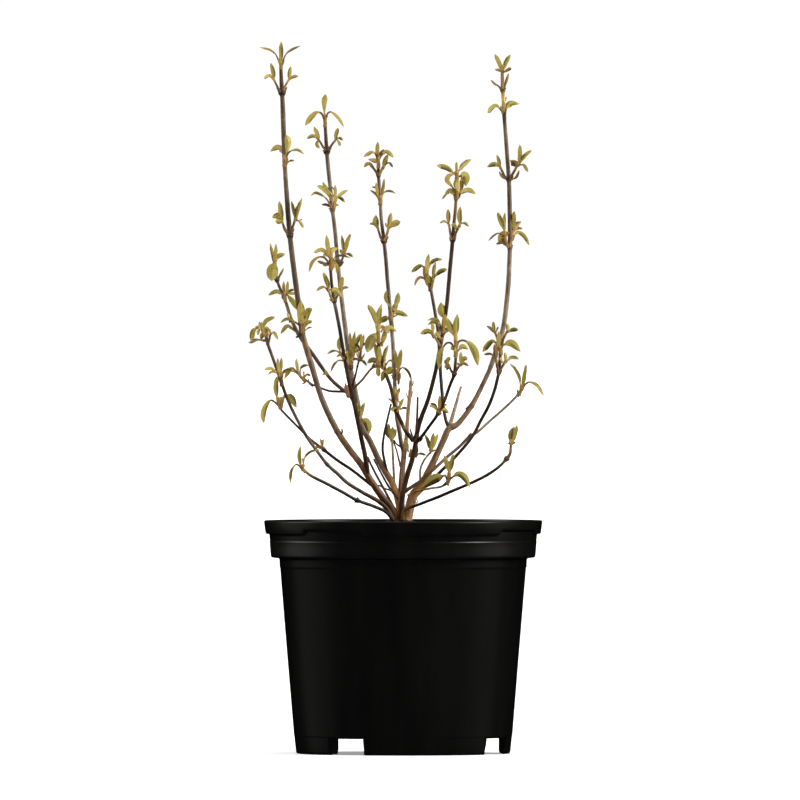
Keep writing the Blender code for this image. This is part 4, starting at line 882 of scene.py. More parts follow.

# ---------------------------------------------------------------- tufts of young leaves
# Each tuft: the mass it stands for, its limb, its node, and its rows. A row is a kind, then its line on the
# front grid, then its width and tint:
#   l  leaf    o  leaf widest near its tip    w  broad leaf    r  narrow leaf on a long stalk
#   s  green or woody stalk    b  bud or bract
# A mark after the tint gives the half of the blade painted in shade, in darker tints: > right, < left, ^ upper, _v
# lower, = none.
TUFTS = (
    ("leaves_tall_left_tip", "stem_tall_left", 281, 61, """
l 281,64 280.9,52 281.1,41.4 3.9 olive>
r 279.8,65 277.6,58.5 275.6,54.3 270,50 259.2,47.2 2.0 gold
r 282.2,65 284.2,57.5 287,53 292,49.4 300.9,45.6 2.1 amber
l 280.6,66.5 279.2,61.5 278.4,58 2.4 gold
l 281.8,66.5 283.2,61.5 284.2,57.8 2.4 gold
s 281,69 280.9,61 3.0 gold
l 281.9,62 282.3,52 281.9,44 1.7 dark"""),
    ("leaves_tall_left_2", "stem_tall_left", 281.6, 92, """
s 279,91 278,88 273.8,79.5 1.9 brown
s 283.6,91 284.6,87.5 288.8,79.5 1.9 gold
l 274.2,81 273.2,72 270.6,62.7 4.0 yellow>
l 273.6,79.5 269.5,75.8 263.8,77.8 3.4 gold_v
l 288.6,81 289.6,73 290.9,66.2 3.8 yellow<
l 289.3,79.6 293.5,76.6 298.7,76 3.2 gold_v
b 280.5,92 276.3,87.5 3.2 brown
b 283.8,92 287.2,87 3.2 brown"""),
    ("leaves_tall_left_3", "stem_tall_left", 285, 165.5, """
s 284.7,166.5 284.9,161 285.2,156 4.0 gold
o 285.3,161 287.4,148 288.1,142 286.2,134.8 6.2 pale<
l 284,155.5 280.5,148.8 277,147.6 270.2,151.6 5.8 olive_v
r 286,158.5 288.3,153 292,150.5 297.5,149.9 303.8,154 2.6 olive_v
r 286.3,164 289.5,161 294.5,160.3 2.0 amber
b 286.2,165.5 288,157.5 3.4 gold
b 283.6,165 282.8,157.5 3.0 brown"""),
    ("leaves_tall_left_4", "stem_tall_left", 289.5, 234.5, """
s 287,233 284.5,228 281.8,221 2.1 brown
b 287,233.5 282.5,226 3.6 brown
s 291,233 293.4,225 295.4,218 2.2 brown
l 281.8,223 280.8,212 279.3,201 4.8 yellow>
w 283.3,220 278.5,215.6 271.8,217.5 5.8 olive^
w 283,218.5 279.8,220.8 275.3,221 5.4 olive_v
l 295.6,221 293.6,210 291.5,200.6 3.1 gold
l 296.4,221 298,209 301.9,198 3.5 olive<
l 296.2,215 296,211 296.4,206 2.0 dark
l 297.5,220.3 300.4,222.5 303.6,228 2.8 olive
s 298.5,221 301.8,219.2 1.1 gold
b 291.5,234 294.3,228.5 2.8 brown"""),
    ("leaves_tall_left_5", "stem_tall_left", 302.5, 333, """
w 302.6,327 301.2,312 300.7,299.6 8.0 yellow>
l 303,325 304,318 303.3,307.5 4.4 olive
w 304,325 306.3,315 311.9,308.2 6.2 yellow_v
l 304.5,318 307.8,309.8 312.2,310 3.8 olive_v
r 290,322.5 288.8,317 287.4,312 2.6 pale
r 301.3,327 295,322 287,318.9 280.3,322.6 3.2 green_v
r 299,334.5 292,328 287,326.4 280.8,334 4.0 olive_v
s 300,335 296,331 291,320.5 1.9 brown
s 300.5,335.5 295,330.5 290,327.4 2.2 brown
l 303.8,330.5 306,323.9 311.9,320.6 3.8 olive_v
r 304.5,331 308.5,327.8 312,327.2 1.4 brown
s 302.9,333.5 302.6,326 302.4,320 3.6 gold
b 300.5,336 295.8,333.6 3.4 brown"""),
    ("leaves_fork_left_tip", "bough_fork_left", 275.5, 270, """
s 276.8,280 276.2,274 275.2,263 2.3 brown
l 274.2,266 272.4,254 270.2,243 3.0 yellow<
l 274.8,266 275.6,254 275.9,243.4 3.2 yellow>
l 275,264 274.2,257 273.6,252 2.6 gold
l 275.6,262 278.5,256 285.2,253.9 4.4 olive_v
W 274.6,261.5 272.6,270 271.6,281 11 green=
s 277.8,279.5 280,275 282,271.5 1.9 brown
b 280.2,275.5 283.8,267.9 3.2 gold"""),
    ("leaves_fork_left_2", "bough_fork_left", 283.7, 297, """
l 284.6,295.5 283.7,288 283.8,281 3.0 gold=
l 286.8,295 287.3,288 287.9,280.8 3.0 yellow=
l 283,294.5 276,291.3 268.3,295.2 3.9 olive_v
l 286.5,293.8 290,290.6 294.8,289.2 2.6 dark
l 287,293.3 291,293.3 295.3,294.2 2.9 olive
l 286.6,293.8 291.7,300 298,310 5.0 green=
s 285.4,302 285,297 285.6,292.5 3.0 gold"""),
    ("leaves_slant_left_twig", "stem_tall_left", 304, 379, """
l 298.6,375 297,366 296.3,358.5 2.8 yellow>
r 300.5,377 300.4,369 303.6,365.8 309.2,365.3 2.4 dark
w 299,374.5 291,369.6 284,379 4.6 olive_v
l 296,372.5 290,369.6 282.8,372.4 3.2 green
l 304,378 307,374.5 311,376.4 2.6 gold
s 305,381 301.5,377.5 298.5,373.5 2.8 gold
b 308,382 308.8,378.4 2.2 amber
b 303,379.5 305.4,374.8 2.2 gold"""),
    ("leaves_low_left_tip", "stem_low_left", 266.8, 340, """
r 269,339.5 271,333.8 273.6,332.6 277.8,339.6 3.0 olive
l 262.4,330.5 265.5,321.5 269.5,319 275,317.2 4.0 green^
l 259,327.3 253.6,330.4 251.3,341.7 5.0 olive<
r 264.5,341 259,339.8 254.5,340.6 248.3,342.8 3.2 dark
l 262,331.5 260.2,326.5 259.4,321.7 3.2 pale
l 260.5,329 258.4,330.8 258,335.4 3.0 pale
l 260.5,328.5 257.5,326.6 254.5,329 2.4 olive
l 263,332 266,328 269.2,328.6 3.2 pale_v
l 265.5,333 268.8,330 270.5,334 2.8 gold
l 266,337 262.8,334.6 260.6,339.6 4.6 green>
w 266.5,337 264.8,331 261.8,326.8 5.0 gold=
l 262,329.5 262.3,325 261.3,321.5 2.6 yellow
l 264.8,334.5 265.8,330.5 265.3,326.5 3.0 gold
b 262,336 263.6,329.5 4.0 amber
s 267.6,345 266.6,339.5 265.2,335 2.3 brown
s 268.2,343.5 265,340.5 261,339.9 1.8 brown
s 268.3,343.5 269.3,339 270.3,334.5 1.9 brown"""),
    ("leaves_low_left_2", "stem_low_left", 280.8, 379, """
l 279.9,377 278.3,366 277.8,358 3.0 pale<
l 280.9,377 281,366 281.2,357.6 2.9 yellow>
l 278.5,372.5 271,368.6 264.3,370 2.6 pale_v
l 277.5,373.5 272,371.6 267.9,374.8 2.4 yellow
l 282,377.5 284,371.8 294,370 4.0 green
l 279,376 280.2,371 280,366 2.6 olive
s 281.8,386 280.3,373 3.4 brown
b 282,379 280.8,371.5 3.4 amber"""),
    ("leaves_slant_left_tip", "bough_low_left", 281, 409, """
l 277.2,400 275.9,387 277,376 5.0 yellow>
r 281,409 275.6,402.8 270.8,400.2 265.6,406 263.2,414 264,423.3 5.4 yellow>
l 284,397 289.5,396 296.6,408 6.0 green>
s 281,409 283,399 284.8,395.5 2.4 gold
s 280.5,409 277.3,397.5 3.2 gold
l 280.4,406 279.6,400 283.7,396.8 3.2 olive
b 281.5,407.5 284,398 3.0 gold"""),
    ("dry_node", "bough_low_left", 322.4, 449, """
l 322,447.5 321.2,443 320.4,438.3 2.0 pale
l 322.4,447.5 322.8,443 323.3,438.4 2.0 pale
s 322.6,449.5 322.1,443.5 1.9 brown
l 322,449.3 318,446.8 314.3,448 2.8 amber
l 318,447.5 316,443.5 313,441.5 1.8 amber"""),
    ("leaves_basal_left_tip", "stem_basal_left", 303, 469, """
l 302,469.5 299.2,457 300.6,445.8 3.5 olive>
r 302.5,470.5 299.6,466.2 296.3,464.3 291.4,470.4 290.2,484 2.8 green
r 303.5,470 303.7,461 306.4,455 311,451.4 320,449.6 2.5 dark
l 302.6,471 302.6,464 3.0 amber
s 305.5,472.5 303,469 2.7 amber"""),
    ("leaves_front_left_tip", "bough_front_left", 330.2, 263, """
l 330,260 327.8,247 326.3,235 4.1 yellow>
l 330,257 322,249.9 313.6,252 4.0 olive_v
l 330.5,259 332,250.4 337.8,247.8 4.4 yellow^
l 330,258 326.3,254.8 322.8,256 3.2 olive
r 329.3,263.5 324.2,257.6 318,257.3 312.2,262.3 308.8,272.3 3.0 gold=
l 328.5,265 322.5,263 317.3,261.4 2.6 brown
l 329.5,264.5 325.5,264.3 322.8,265.6 4.0 olive
l 331,263 335.5,256.9 342,255.4 350.6,258 2.2 dark
l 333.4,262 336.6,265.5 337,273.5 3.0 olive>
l 331.5,262 333.8,265.5 332.8,269 3.0 gold
s 330.9,270 330.8,260 331,252 3.6 gold
s 330.4,270 330.3,262 330,255 2.2 brown
b 330.5,266.5 334.6,259.5 4.2 amber
b 330,263 331.6,253.5 3.8 gold"""),
    ("leaves_fork_4", "stem_fork", 338, 262, """
s 339.8,264.5 341.5,261 344,254.5 2.0 brown
l 344,254.5 341.6,252 339.8,249.2 3.2 gold
l 344.3,255.5 343,244 341.7,235 3.2 yellow>
l 344.8,255.5 346.6,244 350.8,233.8 3.7 yellow=
l 345,253.5 349,254 353.3,257.2 2.8 dark_v
b 344.3,256 344.8,250 3.2 gold
b 339.5,266.5 344,261.2 3.4 brown
l 337.5,263.5 334,261 331,263 2.5 gold"""),
    ("leaves_front_left_2", "bough_front_left", 333.6, 300, """
s 333,301 331,297.5 328.5,289.5 2.1 gold
l 328.8,292 327.3,283 323.7,272.3 4.4 olive>
l 328.8,286 326,279 324.2,273 2.4 brown
l 327.6,288 325.4,281 323.6,274.5 1.8 dark
r 328.6,291.5 325,287.4 321,287.4 316.5,291 2.9 olive_v
s 334.6,301 336.8,297 339,291.5 2.0 brown
b 335,300.5 337.8,294.5 2.2 brown
b 332.5,301.5 329,299 2.2 brown
l 340.2,294 341.2,285 342,276.6 4.4 yellow=
l 341,290.5 344.5,287.6 348.9,287.8 2.7 amber
W 329.6,289.6 335.4,290.4 342.1,297.0 5.8 green="""),
    ("leaves_front_left_3", "bough_front_left", 344, 358, """
l 340.3,352.5 338.8,345 339.7,336.6 3.8 olive>
r 341,354.5 337,351 333,350.8 327.2,354 2.3 dark
l 341,355 338.5,355.5 336.5,356.8 2.2 gold
r 344,361 338.5,360.4 334,364.5 330.3,373 2.2 dark
s 344,359 342.5,356.5 340.3,353 2.6 gold
l 327.5,374.5 326.3,372 324.6,370 2.6 gold
l 327.5,374.5 324.5,374 322,375 2.4 olive"""),
    ("leaves_fork_tip", "stem_fork", 325, 120, """
o 324.7,120 324.3,108 324.4,101 325.6,94.2 5.0 yellow=
r 324.2,119.5 321.5,113.4 317.5,112.2 311.2,117 305.1,125.6 5.0 olive_v
r 325.8,119.5 327.4,113.8 330.6,111.9 338,117.6 343.8,127 3.0 olive=
s 325.1,127 325,117.5 3.2 amber"""),
    ("leaves_fork_2", "stem_fork", 327, 150.5, """
s 326,150.5 323.5,147.5 318.3,139 2.0 brown
l 319,141.5 316.8,133 314.2,126.5 4.0 yellow>
l 318.6,139.5 312.8,135.8 306.6,138.6 3.6 yellow_v
l 318.3,139.5 316.8,143.8 319.4,148.6 3.4 olive<
s 328.3,150.5 330,147.5 336,139 2.0 brown
l 335,141.5 336,134.5 338.5,128 3.8 yellow>
l 336.8,138 340,138 343,140.4 2.6 dark_v
l 337,139 338.7,142 340.3,146.2 2.8 olive>
b 325.5,151 322.8,146.8 2.6 brown
b 329,151 331.8,146.3 2.8 brown"""),
    ("leaves_fork_3", "stem_fork", 332.3, 209, """
l 330.5,199 326.6,190 322.6,181.8 3.9 yellow>
l 329.6,196.5 323,188.8 317,186.3 3.8 olive^
w 334.5,196.5 330.5,193.6 327.3,188.5 3.6 yellow_v
r 331.6,208 327,199.5 321,194.6 315.5,193 310.6,196 2.6 dark_v
l 331.4,208 327,204.8 321.5,204.5 2.6 brown
s 331.4,209 331,204 330.4,198 2.2 brown
l 334.2,205 335.2,195 335,184.4 3.0 yellow>
b 335,191 332,186.5 2.0 dark
s 334,209 334.8,203 336.6,197 2.6 gold
l 335.5,200 340,194.6 347.8,190 3.2 green_v
l 336,197 341,198.2 344.9,202.3 3.0 dark_v
l 333.6,208.5 336,205 339,205.3 3.2 gold_v
b 333.4,209.5 334.4,200 3.0 gold"""),
    ("leaves_fork_5", "stem_fork", 350.3, 366, """
l 350.3,356 350.5,344 349.9,332.4 3.0 yellow=
w 350.8,364 353,346 355,331.2 5.6 yellow>
l 351.5,358 355.8,344 361,334.3 4.4 olive_v
w 349.8,365 348.4,357 347.4,350 6.2 olive=
l 351,355 355,351 360,347.8 4.4 gold=
l 351,361 352.6,354 352,347 4.0 olive
s 350.6,369 350.4,364 4.8 brown
b 350.4,368 353.2,360.5 4.0 gold
b 348.6,368 346,360.5 3.0 brown"""),
    ("leaves_right_twig", "stem_fork", 360, 359, """
s 359.8,361 360.6,354 361,347 2.0 brown
l 361,352 361.3,342 361.2,333.4 3.0 pale<
l 361,349 363,341 363.8,334 2.0 olive
r 360.6,352 358,345.6 354.3,343.6 2.2 brown
r 361.2,350 363.4,344.4 366.9,342.7 2.2 brown
b 360,361.5 356,352 2.6 gold
b 360.6,361 365,353.2 3.0 gold
b 359,361 353.5,357 2.2 brown
l 360.6,360.5 364,362 367,366 2.6 dark
l 359.6,360.5 356,358.8 352.8,360.3 2.3 brown"""),
    ("bud_twig", "stem_fork", 374, 366, """
b 373,368 378,362.8 3.2 brown
b 372,367 374.5,362.5 2.6 brown
b 374.5,367.5 379,367 2.4 brown"""),
    ("leaves_centre_left_tip", "stem_centre_left", 378.5, 163, """
l 377.6,160 377.3,151 377.7,141.8 3.9 yellow>
r 377.6,160 375.4,153.8 372,152 363.8,157.2 3.4 olive_v
l 378.6,160 380.8,153 384.2,149 2.8 brown
r 379,159.5 382.5,153.2 387,151.6 393.5,157.7 4.0 olive_v
l 378.8,160 382,153.8 385.5,153 2.8 gold
s 378.4,168 378.2,156 3.2 gold
l 378.2,164 377.6,158 379,153 3.0 amber"""),
    ("leaves_centre_left_1b", "stem_centre_left", 378.7, 175, """
s 378.4,175.5 376.6,172.5 370.5,164.3 2.2 brown
w 377.8,161.5 373,160.3 367.8,159.2 4.4 yellow=
l 371.8,167 368,163.4 363.9,167.2 3.4 gold=
b 373.4,168.5 369.6,162 4.6 gold
s 379.3,175.5 380.6,172 384.6,163.5 2.2 gold
l 383,169.5 385.3,160.5 388,154 4.6 pale<
l 384,168 386,162 387.8,158 2.4 olive
r 385,164 389.3,162.8 393,167.4 2.4 brown"""),
    ("leaves_centre_left_2", "stem_centre_left", 380.3, 201, """
l 378.4,198 376.9,190 375.9,182.4 2.9 yellow>
l 377.4,189 375,187.4 371.9,187.1 1.7 amber
l 378.6,199.5 375.8,193.8 370,190 2.3 amber_v
l 381.3,196.5 383.2,187 384.2,178.4 2.9 gold<
r 381,200.5 383.2,193.4 387,191 391,191.3 395.9,193.6 2.2 dark_v
l 380.6,199 381.8,194 384.3,190.8 2.6 gold
s 380.3,205 380.2,196 3.6 gold"""),
    ("leaves_centre_left_3", "stem_centre_left", 384, 240.5, """
s 383,241 380.3,236.5 377.5,227 2.1 brown
w 377,228 375,221 375.2,215.7 5.0 yellow=
l 378.2,229 377.8,221 375.6,214.5 1.8 amber
l 377.5,227 373.5,223.8 369,223.9 2.5 green_v
s 384.8,241 386.4,236 388.7,227.5 2.4 gold
l 388.8,229 390,220 391.2,212.4 4.6 yellow<
w 390,227.4 395,223.4 400.4,221.6 6.0 olive=
l 388.4,228 386.6,225.5 385.4,222.4 2.4 pale
b 382.8,240.5 379.4,236.2 2.8 brown
b 385.3,240.5 388.8,236.3 2.8 brown"""),
    ("leaves_centre_left_4", "stem_centre_left", 391, 320, """
l 388.8,306 385.7,298 386.4,290.4 3.2 green<
s 389.4,313 389,305 1.6 brown
l 394.3,307 397.3,300 398.4,292.4 5.0 green=
w 393,312 395.3,306 398.6,301.2 5.2 yellow_v
l 391.3,318.5 392.4,313 393.6,307.5 2.6 gold
l 391.5,317 395,312.8 400,313 407.9,316.1 4.8 olive_v
s 390.9,319.5 393,316.8 396.5,315.4 1.4 brown
l 379,329 382.5,326.5 386.5,327.5 2.6 pale
w 389.5,318.2 385,318.5 379.7,322.9 5.6 dark=
s 391,320 391.6,313 3.4 gold
s 391.6,329 391.1,319 3.8 brown"""),
    ("leaves_centre_left_5", "stem_centre_left", 396, 376, """
b 398.5,384.5 399,369 4.2 brown
b 400,379 400.6,372.5 2.4 amber
l 396.9,368 396,359 395.3,350.2 3.2 olive=
l 397.7,373 399.4,360 401.5,349.2 4.6 olive=
s 397.6,380 397.6,369 2.8 gold
l 398.6,373 400.6,368.6 403.5,367.8 408,371.5 412,382 2.4 dark
l 396.5,396 395,391 395,386.8 3.0 yellow
l 397,396 398.5,391 400.2,387.2 3.0 gold
s 397.2,400 397,393 2.8 gold"""),
    ("leaves_knob_left_tip", "bough_knob_left", 378.6, 335, """
l 376.7,328 374,315 368.2,304.6 5.2 olive
l 378,331 378.5,316 381.7,303.7 6.0 olive>
w 379.3,332.6 376,334.6 371,341 366.9,352.4 9.4 dark=
l 382,346 384.6,334 386.7,325.2 4.6 olive<
l 381,332 383,328 380.8,325 2.6 gold
w 384.5,335 389.5,328.6 396.6,331.3 6.2 olive_v
s 378.5,343 377.8,327 3.4 gold
l 383.8,364 384.6,354 387.9,345 3.4 yellow
l 378.7,364 376.8,352 374.5,342.6 4.2 olive>
l 379.8,365 379.6,356 378.2,346.5 3.8 olive
l 381.5,346 378,341 375,339.5 2.4 gold
l 380.2,346 382,342 384.2,340.6 2.0 amber"""),
    ("leaves_knob_left_2", "bough_knob_left", 383, 366, """
l 380.5,365.5 374,360 367.1,363.2 5.2 dark
l 379.5,366.5 378,371 378.8,376.8 4.6 olive
r 386,365 388.2,361.4 391,360.3 394.4,363.2 1.8 amber
w 383.8,370.8 388.5,370.8 392,367.3 7.2 olive_v
l 385,370.5 383,376 381,381.8 5.2 olive>
b 384,369.5 378.2,363 5.0 gold
b 383,368 386.5,363.5 3.8 gold
b 384,367 384.4,360.5 3.4 pale
l 382,367 377,366.5 374.5,368.5 3.4 amber
b 380,366 380.6,360 2.6 brown"""),
    ("knob_410", "bough_knob_left", 396.5, 408, """
l 399.5,409 401,403 403.9,398 3.2 olive
l 400.5,403 398.5,401.5 396.3,401 1.8 gold
l 400,409 404,407.9 408,408.8 2.8 dark
l 396,408 393.5,408 392,411.8 3.4 olive
l 392,402.5 390,399.5 387.6,398.5 1.8 amber
s 396.7,412 398.2,407.8 2.6 gold
b 397,410 400.5,403.5 3.2 gold"""),
    ("green_shoot", "stem_centre_left", 392, 440, """
l 391.5,441.5 387.8,432 388.9,423.6 5.4 green<
l 392,440 394,432.4 396.5,429.2 5.4 olive>
l 391.8,442 391.5,434 392.6,426.5 3.4 yellow"""),
    ("centre_small", "stem_centre_right", 410, 456, """
l 408.4,451.5 406.5,444.6 404.3,440 4.0 pale>
l 412,460.5 415.3,453 417.6,445 4.6 green>
r 415.5,457.5 419,453.6 426.4,455.2 2.6 dark
b 409,457 411.5,449 3.6 gold
l 411.5,460 410.6,454.5 412.6,449.6 3.0 amber"""),
    ("foot_dark", "stem_fork", 361, 420, """
l 361,418.5 362,410 364.9,402 3.6 olive<
l 359,418.5 358.8,410 357.3,402.6 3.5 olive
w 360.4,418 366,422.4 368.9,434.5 8.8 green<
l 360.4,420 360,414 360.6,408.5 3.0 gold
s 360,425 360.5,417 2.6 gold"""),
    ("leaves_centre_right_tip", "stem_centre_right", 457, 190, """
s 457,199 457,188 3.0 gold
s 456.9,180 456.7,171 3.6 gold
l 456.6,173 456.4,166 456.4,161.6 2.6 olive
l 455.5,174.5 447,168 437,165.8 5.0 green_v
l 457.8,172 463,165 471.3,159.2 4.6 yellow^
l 455.8,192 450.8,185 446.8,180 449,175.6 454.6,174 4.2 gold=
w 458.5,176.4 464.6,176.4 466,186.3 8.6 green=
l 455.9,190 454.9,184 455.8,178.5 3.0 green
l 457.2,197 457.6,188 457.4,178.5 4.6 pale=
l 459,193 461.8,186 461,179 3.6 gold>
w 455.2,196.5 450.5,190.6 444.8,193.4 4.8 olive=
l 448.6,193 445.4,195 442,199.2 2.2 dark
l 458.5,198 461.5,192.4 468,190 475.6,193.9 5.0 green_v
b 458.5,195 461.3,189.6 2.0 brown"""),
    ("leaves_centre_right_2", "stem_centre_right", 452.6, 240, """
s 452,239.5 450.8,236 448.8,224 2.1 gold
l 448.7,225 448.2,215 448,208.9 4.2 gold>
l 448,223.5 444,221.3 439.5,223 2.2 yellow
s 453.3,239.5 454.5,236 459.5,225 2.2 brown
l 460,227 459.5,214 460.4,206.5 4.6 yellow>
l 461,223.5 465,223 469.2,226.8 2.8 green_v
l 456.8,230 454,224.8 450.7,225.5 4.0 yellow_v
b 451.5,239.5 450.3,234.5 2.6 brown
b 453.8,239.5 456.6,235 2.4 brown"""),
    ("leaves_centre_right_3", "stem_centre_right", 442.7, 332, """
s 442.8,333 444,325 445.3,316 3.2 gold
L 446,318.5 442,311 441,302.3 8.2 yellow>
L 443,331.5 444,322 445.2,314 4.6 gold=
l 444.5,331.5 447,328 450,327 2.0 dark
l 443.5,335 446,331.5 449,330 453,332 3.8 dark
l 441.5,328.5 438.3,320.3 434,318.8 427.6,320.4 2.2 dark
l 441,331 437,323.4 433,321.8 427.9,324.8 3.2 olive_v
l 433,333.5 432.6,326 432,322.6 3.4 pale>
l 434,338 429,331.2 420.2,333.6 4.8 green_v
s 440,346 436,338.6 432.6,333 2.1 gold
l 440.5,339 438.2,335.3 435.8,332 4.0 pale
l 441.5,341 443,335 442.6,329 2.6 gold"""),
    ("leaves_tall_fork_tip", "bough_tall_fork", 430.6, 288, """
l 427.3,279 427.2,264 428.4,253.8 4.0 pale>
l 425.8,282 424.8,273 424.2,265.5 3.6 gold
l 427,284 426.8,276 426.6,268 3.6 gold>
l 425.4,269 421,265.6 411.3,272.2 4.2 green_v
l 428,268.5 431.8,262.2 436.5,259.4 442.2,259.6 3.6 green_v
r 428.5,286 424.6,279 420.4,277.2 416.5,280.3 414.6,286 2.8 gold=
l 433,279 434,269 435.6,262 3.6 yellow<
l 434,277.5 439.6,271.8 447,269.5 4.4 green_v
w 430,288 428.9,281 428.6,274.6 7.2 olive
l 432.6,284 433.2,278 434.4,272 3.4 olive>
s 430.4,291 429.4,285 428.2,280 3.2 brown
s 430.6,291 432.3,284 433.8,276 2.4 gold"""),
    ("leaves_knob_right_tip", "bough_knob_right", 456, 349, """
s 455.6,357 455.8,345 455.2,333 3.4 gold
b 455.5,352 455.2,344.5 4.6 pale
w 453.6,335 449.6,326 445.6,316.3 6.2 olive>
l 455.5,337 456,325 457.6,313.6 6.2 yellow>
r 454.2,348.5 450.8,343 446.8,343 441.2,351 438.5,369.3 5.4 olive>
r 456.8,348 458.4,342 462.6,340.3 469,343 475,352 477.9,365.7 6.6 green=
l 457.6,351 462.5,346.6 468.4,349.2 4.8 olive_v
w 456,350.5 453.8,347.8 450.8,349.7 4.4 green"""),
    ("leaves_knob_right_2", "bough_knob_right", 454.6, 373, """
s 454,374 452,372 448.4,364.5 2.2 brown
l 448.4,366.5 447.4,361 449.9,357 3.8 olive>
l 448,366.5 446.2,362.5 444.6,360 3.6 amber
l 448.6,365.5 446.4,366 444.8,368.6 2.8 olive
l 448.8,366.5 447.4,368.5 446.6,370.4 2.8 dark
s 455,374 456,371 460.3,364.5 2.2 brown
l 461,366 460.8,357 460.9,351.8 3.4 pale>
l 461.5,364.5 464,358.8 467.4,359 4.4 olive_v
l 461,365 464.5,363.5 468.7,366 2.8 amber
l 460.4,366 458,364 455.8,364.5 2.4 olive"""),
    ("knob_right_412", "bough_knob_right", 439, 412.5, """
l 438.5,412 439.5,403 439.9,395.6 3.2 gold
r 438,411 435,404.7 430,403.3 2.2 brown
l 438,412 434,406.8 429.3,406.2 2.8 olive
l 441,410 444.5,409.8 449,413.4 3.8 olive_v
l 442,406.5 445,404.9 447.8,405 1.8 gold
s 439.5,414 441.5,407 2.2 gold
b 438,415 436.6,408.5 2.8 brown"""),
    ("leaves_right_tall_tip", "stem_right_tall", 502.3, 74, """
s 502.5,89 502.3,80 502.3,71 2.6 amber
l 501.6,71.5 499,62.5 494.6,54.2 4.2 yellow>
l 503,71.5 505.8,62.5 510.4,54.4 4.2 yellow<
l 502.4,72 502.6,67.5 502.8,64.5 3.4 olive
l 502.5,73 498.8,70 494.6,69.3 3.0 olive_v
l 503,72.5 507,70.3 511,67.8 3.2 amber_v
b 502.3,79.5 502.6,70.5 3.8 gold"""),
    ("leaves_right_tall_2", "stem_right_tall", 503.6, 106, """
s 501.5,89.5 500.5,88 495.8,84 1.5 brown
b 496.4,85.4 490.7,79.9 3.6 amber
s 503.8,89 504.4,87.5 506,82.5 1.5 brown
b 505.2,84.5 508.7,73.2 4.4 gold
l 502,111 497,106 492.5,107.3 487.5,112.7 4.8 green_v
w 505.2,109.5 511.5,103.2 519.6,104 5.2 olive_v
b 502.6,114 500.6,105.5 3.4 amber
b 504.9,114 506.6,106.5 3.2 brown
l 503.8,112 503.4,106 503.2,100 3.2 yellow"""),
    ("leaves_right_tall_3", "stem_right_tall", 508.8, 179.5, """
s 507.5,180 505,177 500,166.5 2.2 brown
l 500.3,169 498.8,161 496.7,154.6 3.5 yellow>
w 499.3,166.4 494,164.2 486.8,167 4.6 green_v
l 507,180 502.3,176.6 499,171.2 2.5 amber
s 510,180 511.6,176 517,166 2.3 brown
l 518.4,166.5 519.7,155 519.6,144.6 3.8 yellow>
l 518.7,165 524,156.3 531.7,150 3.8 yellow=
l 520,162.5 523,156.5 526.6,154 1.9 dark
w 517.8,165.4 513.5,162.4 509.8,160 6.0 dark_v
l 514.4,162 512.6,163.6 511.8,166.3 2.8 brown
l 519,164.8 523.5,165 528.2,172 3.2 olive_v
l 511,180 516.3,176.8 519.4,170 2.6 gold
b 510.4,181 513.6,176 2.0 brown"""),
    ("leaves_right_tall_4", "stem_right_tall", 509.8, 247, """
l 507.8,247 504.6,242.6 503.6,236.5 4.4 amber<
l 505,232.5 501.2,222 498,212.3 4.4 yellow>
l 504.6,233.5 504,222 504.9,212.6 3.4 gold=
s 506.4,243 504.8,237 504.6,231 2.6 gold
l 503.6,236.5 499,233.2 494,235.4 488.5,240.9 1.8 brown
w 509.6,232.4 503.4,235 498.3,243 7.8 yellow=
l 507,246 502.4,243 496.2,243.4 2.6 brown
s 509.5,247 511.8,238 513,231 2.6 gold
l 512.9,235.5 513.6,222 514.3,211 4.6 yellow<
l 513.4,232.5 517,224.4 521.4,221.2 4.6 gold^
l 513.8,231.5 518,228.2 522.6,228.6 2.7 amber
l 512.3,240.5 515,234.6 518.7,232.6 524,236.3 529.2,245.2 3.6 olive<
b 508.5,248 506,240.5 3.0 gold"""),
    ("leaves_right_dark_tip", "stem_right_dark", 500.6, 350, """
w 500,351 499.3,341 498.7,331 5.6 pale>
l 498.8,345.5 492.5,341.2 482.5,351.8 5.0 green_v
w 501.8,345.5 511,343 520.6,351.6 6.8 green=
s 499.2,348 497.6,340 494.8,331 2.1 brown
l 494.8,333.5 493.7,327 493.3,321.2 3.2 yellow>
l 495.2,333.5 491,328.6 486.6,325.8 2.8 amber_v
l 496,332 497.2,329.2 498.3,326.6 2.0 gold
s 501.5,348 503.3,339 507.3,331 2.2 brown
l 507.4,332.5 507.6,326.5 505.8,323.2 3.6 yellow<
w 507.8,332 512.5,329.8 518.3,329.6 4.0 dark_v
s 500.8,355 500.3,346 3.6 gold
l 500.2,352 498.2,347 498.4,343 3.0 brown"""),
    ("leaves_right_dark_2", "stem_right_dark", 498.8, 372, """
s 498.5,373 498,370 496,359.5 2.5 brown
l 496.4,361 495.8,352 494.9,343.8 4.4 amber<
r 495.8,358.5 491,354.2 484,354 2.6 brown
s 499.2,373 500.5,370 505.7,360.5 2.2 brown
l 505.3,363 505.6,357 504.6,352.2 3.2 pale>
w 503.6,362.5 501,360.8 499.6,357 3.4 pale
l 505.5,362.6 511,357.4 519,359 3.4 olive^
b 498.6,376 498.6,369.5 4.2 brown"""),
    ("leaves_slant_right_tip", "stem_right_slant", 521, 389, """
l 520.5,390 519.6,378 515.4,369.3 510,363.6 3.0 olive>
l 521.6,391 524,378 526.3,364.5 3.7 olive=
r 522,390.5 525,384.6 529.3,382.1 536.6,385 544,396 3.4 green^
s 519.5,395.5 520.6,391 522,387 2.6 gold
b 518.6,397 517.2,389 3.4 amber
b 520.4,393 520.8,385.5 2.8 gold"""),
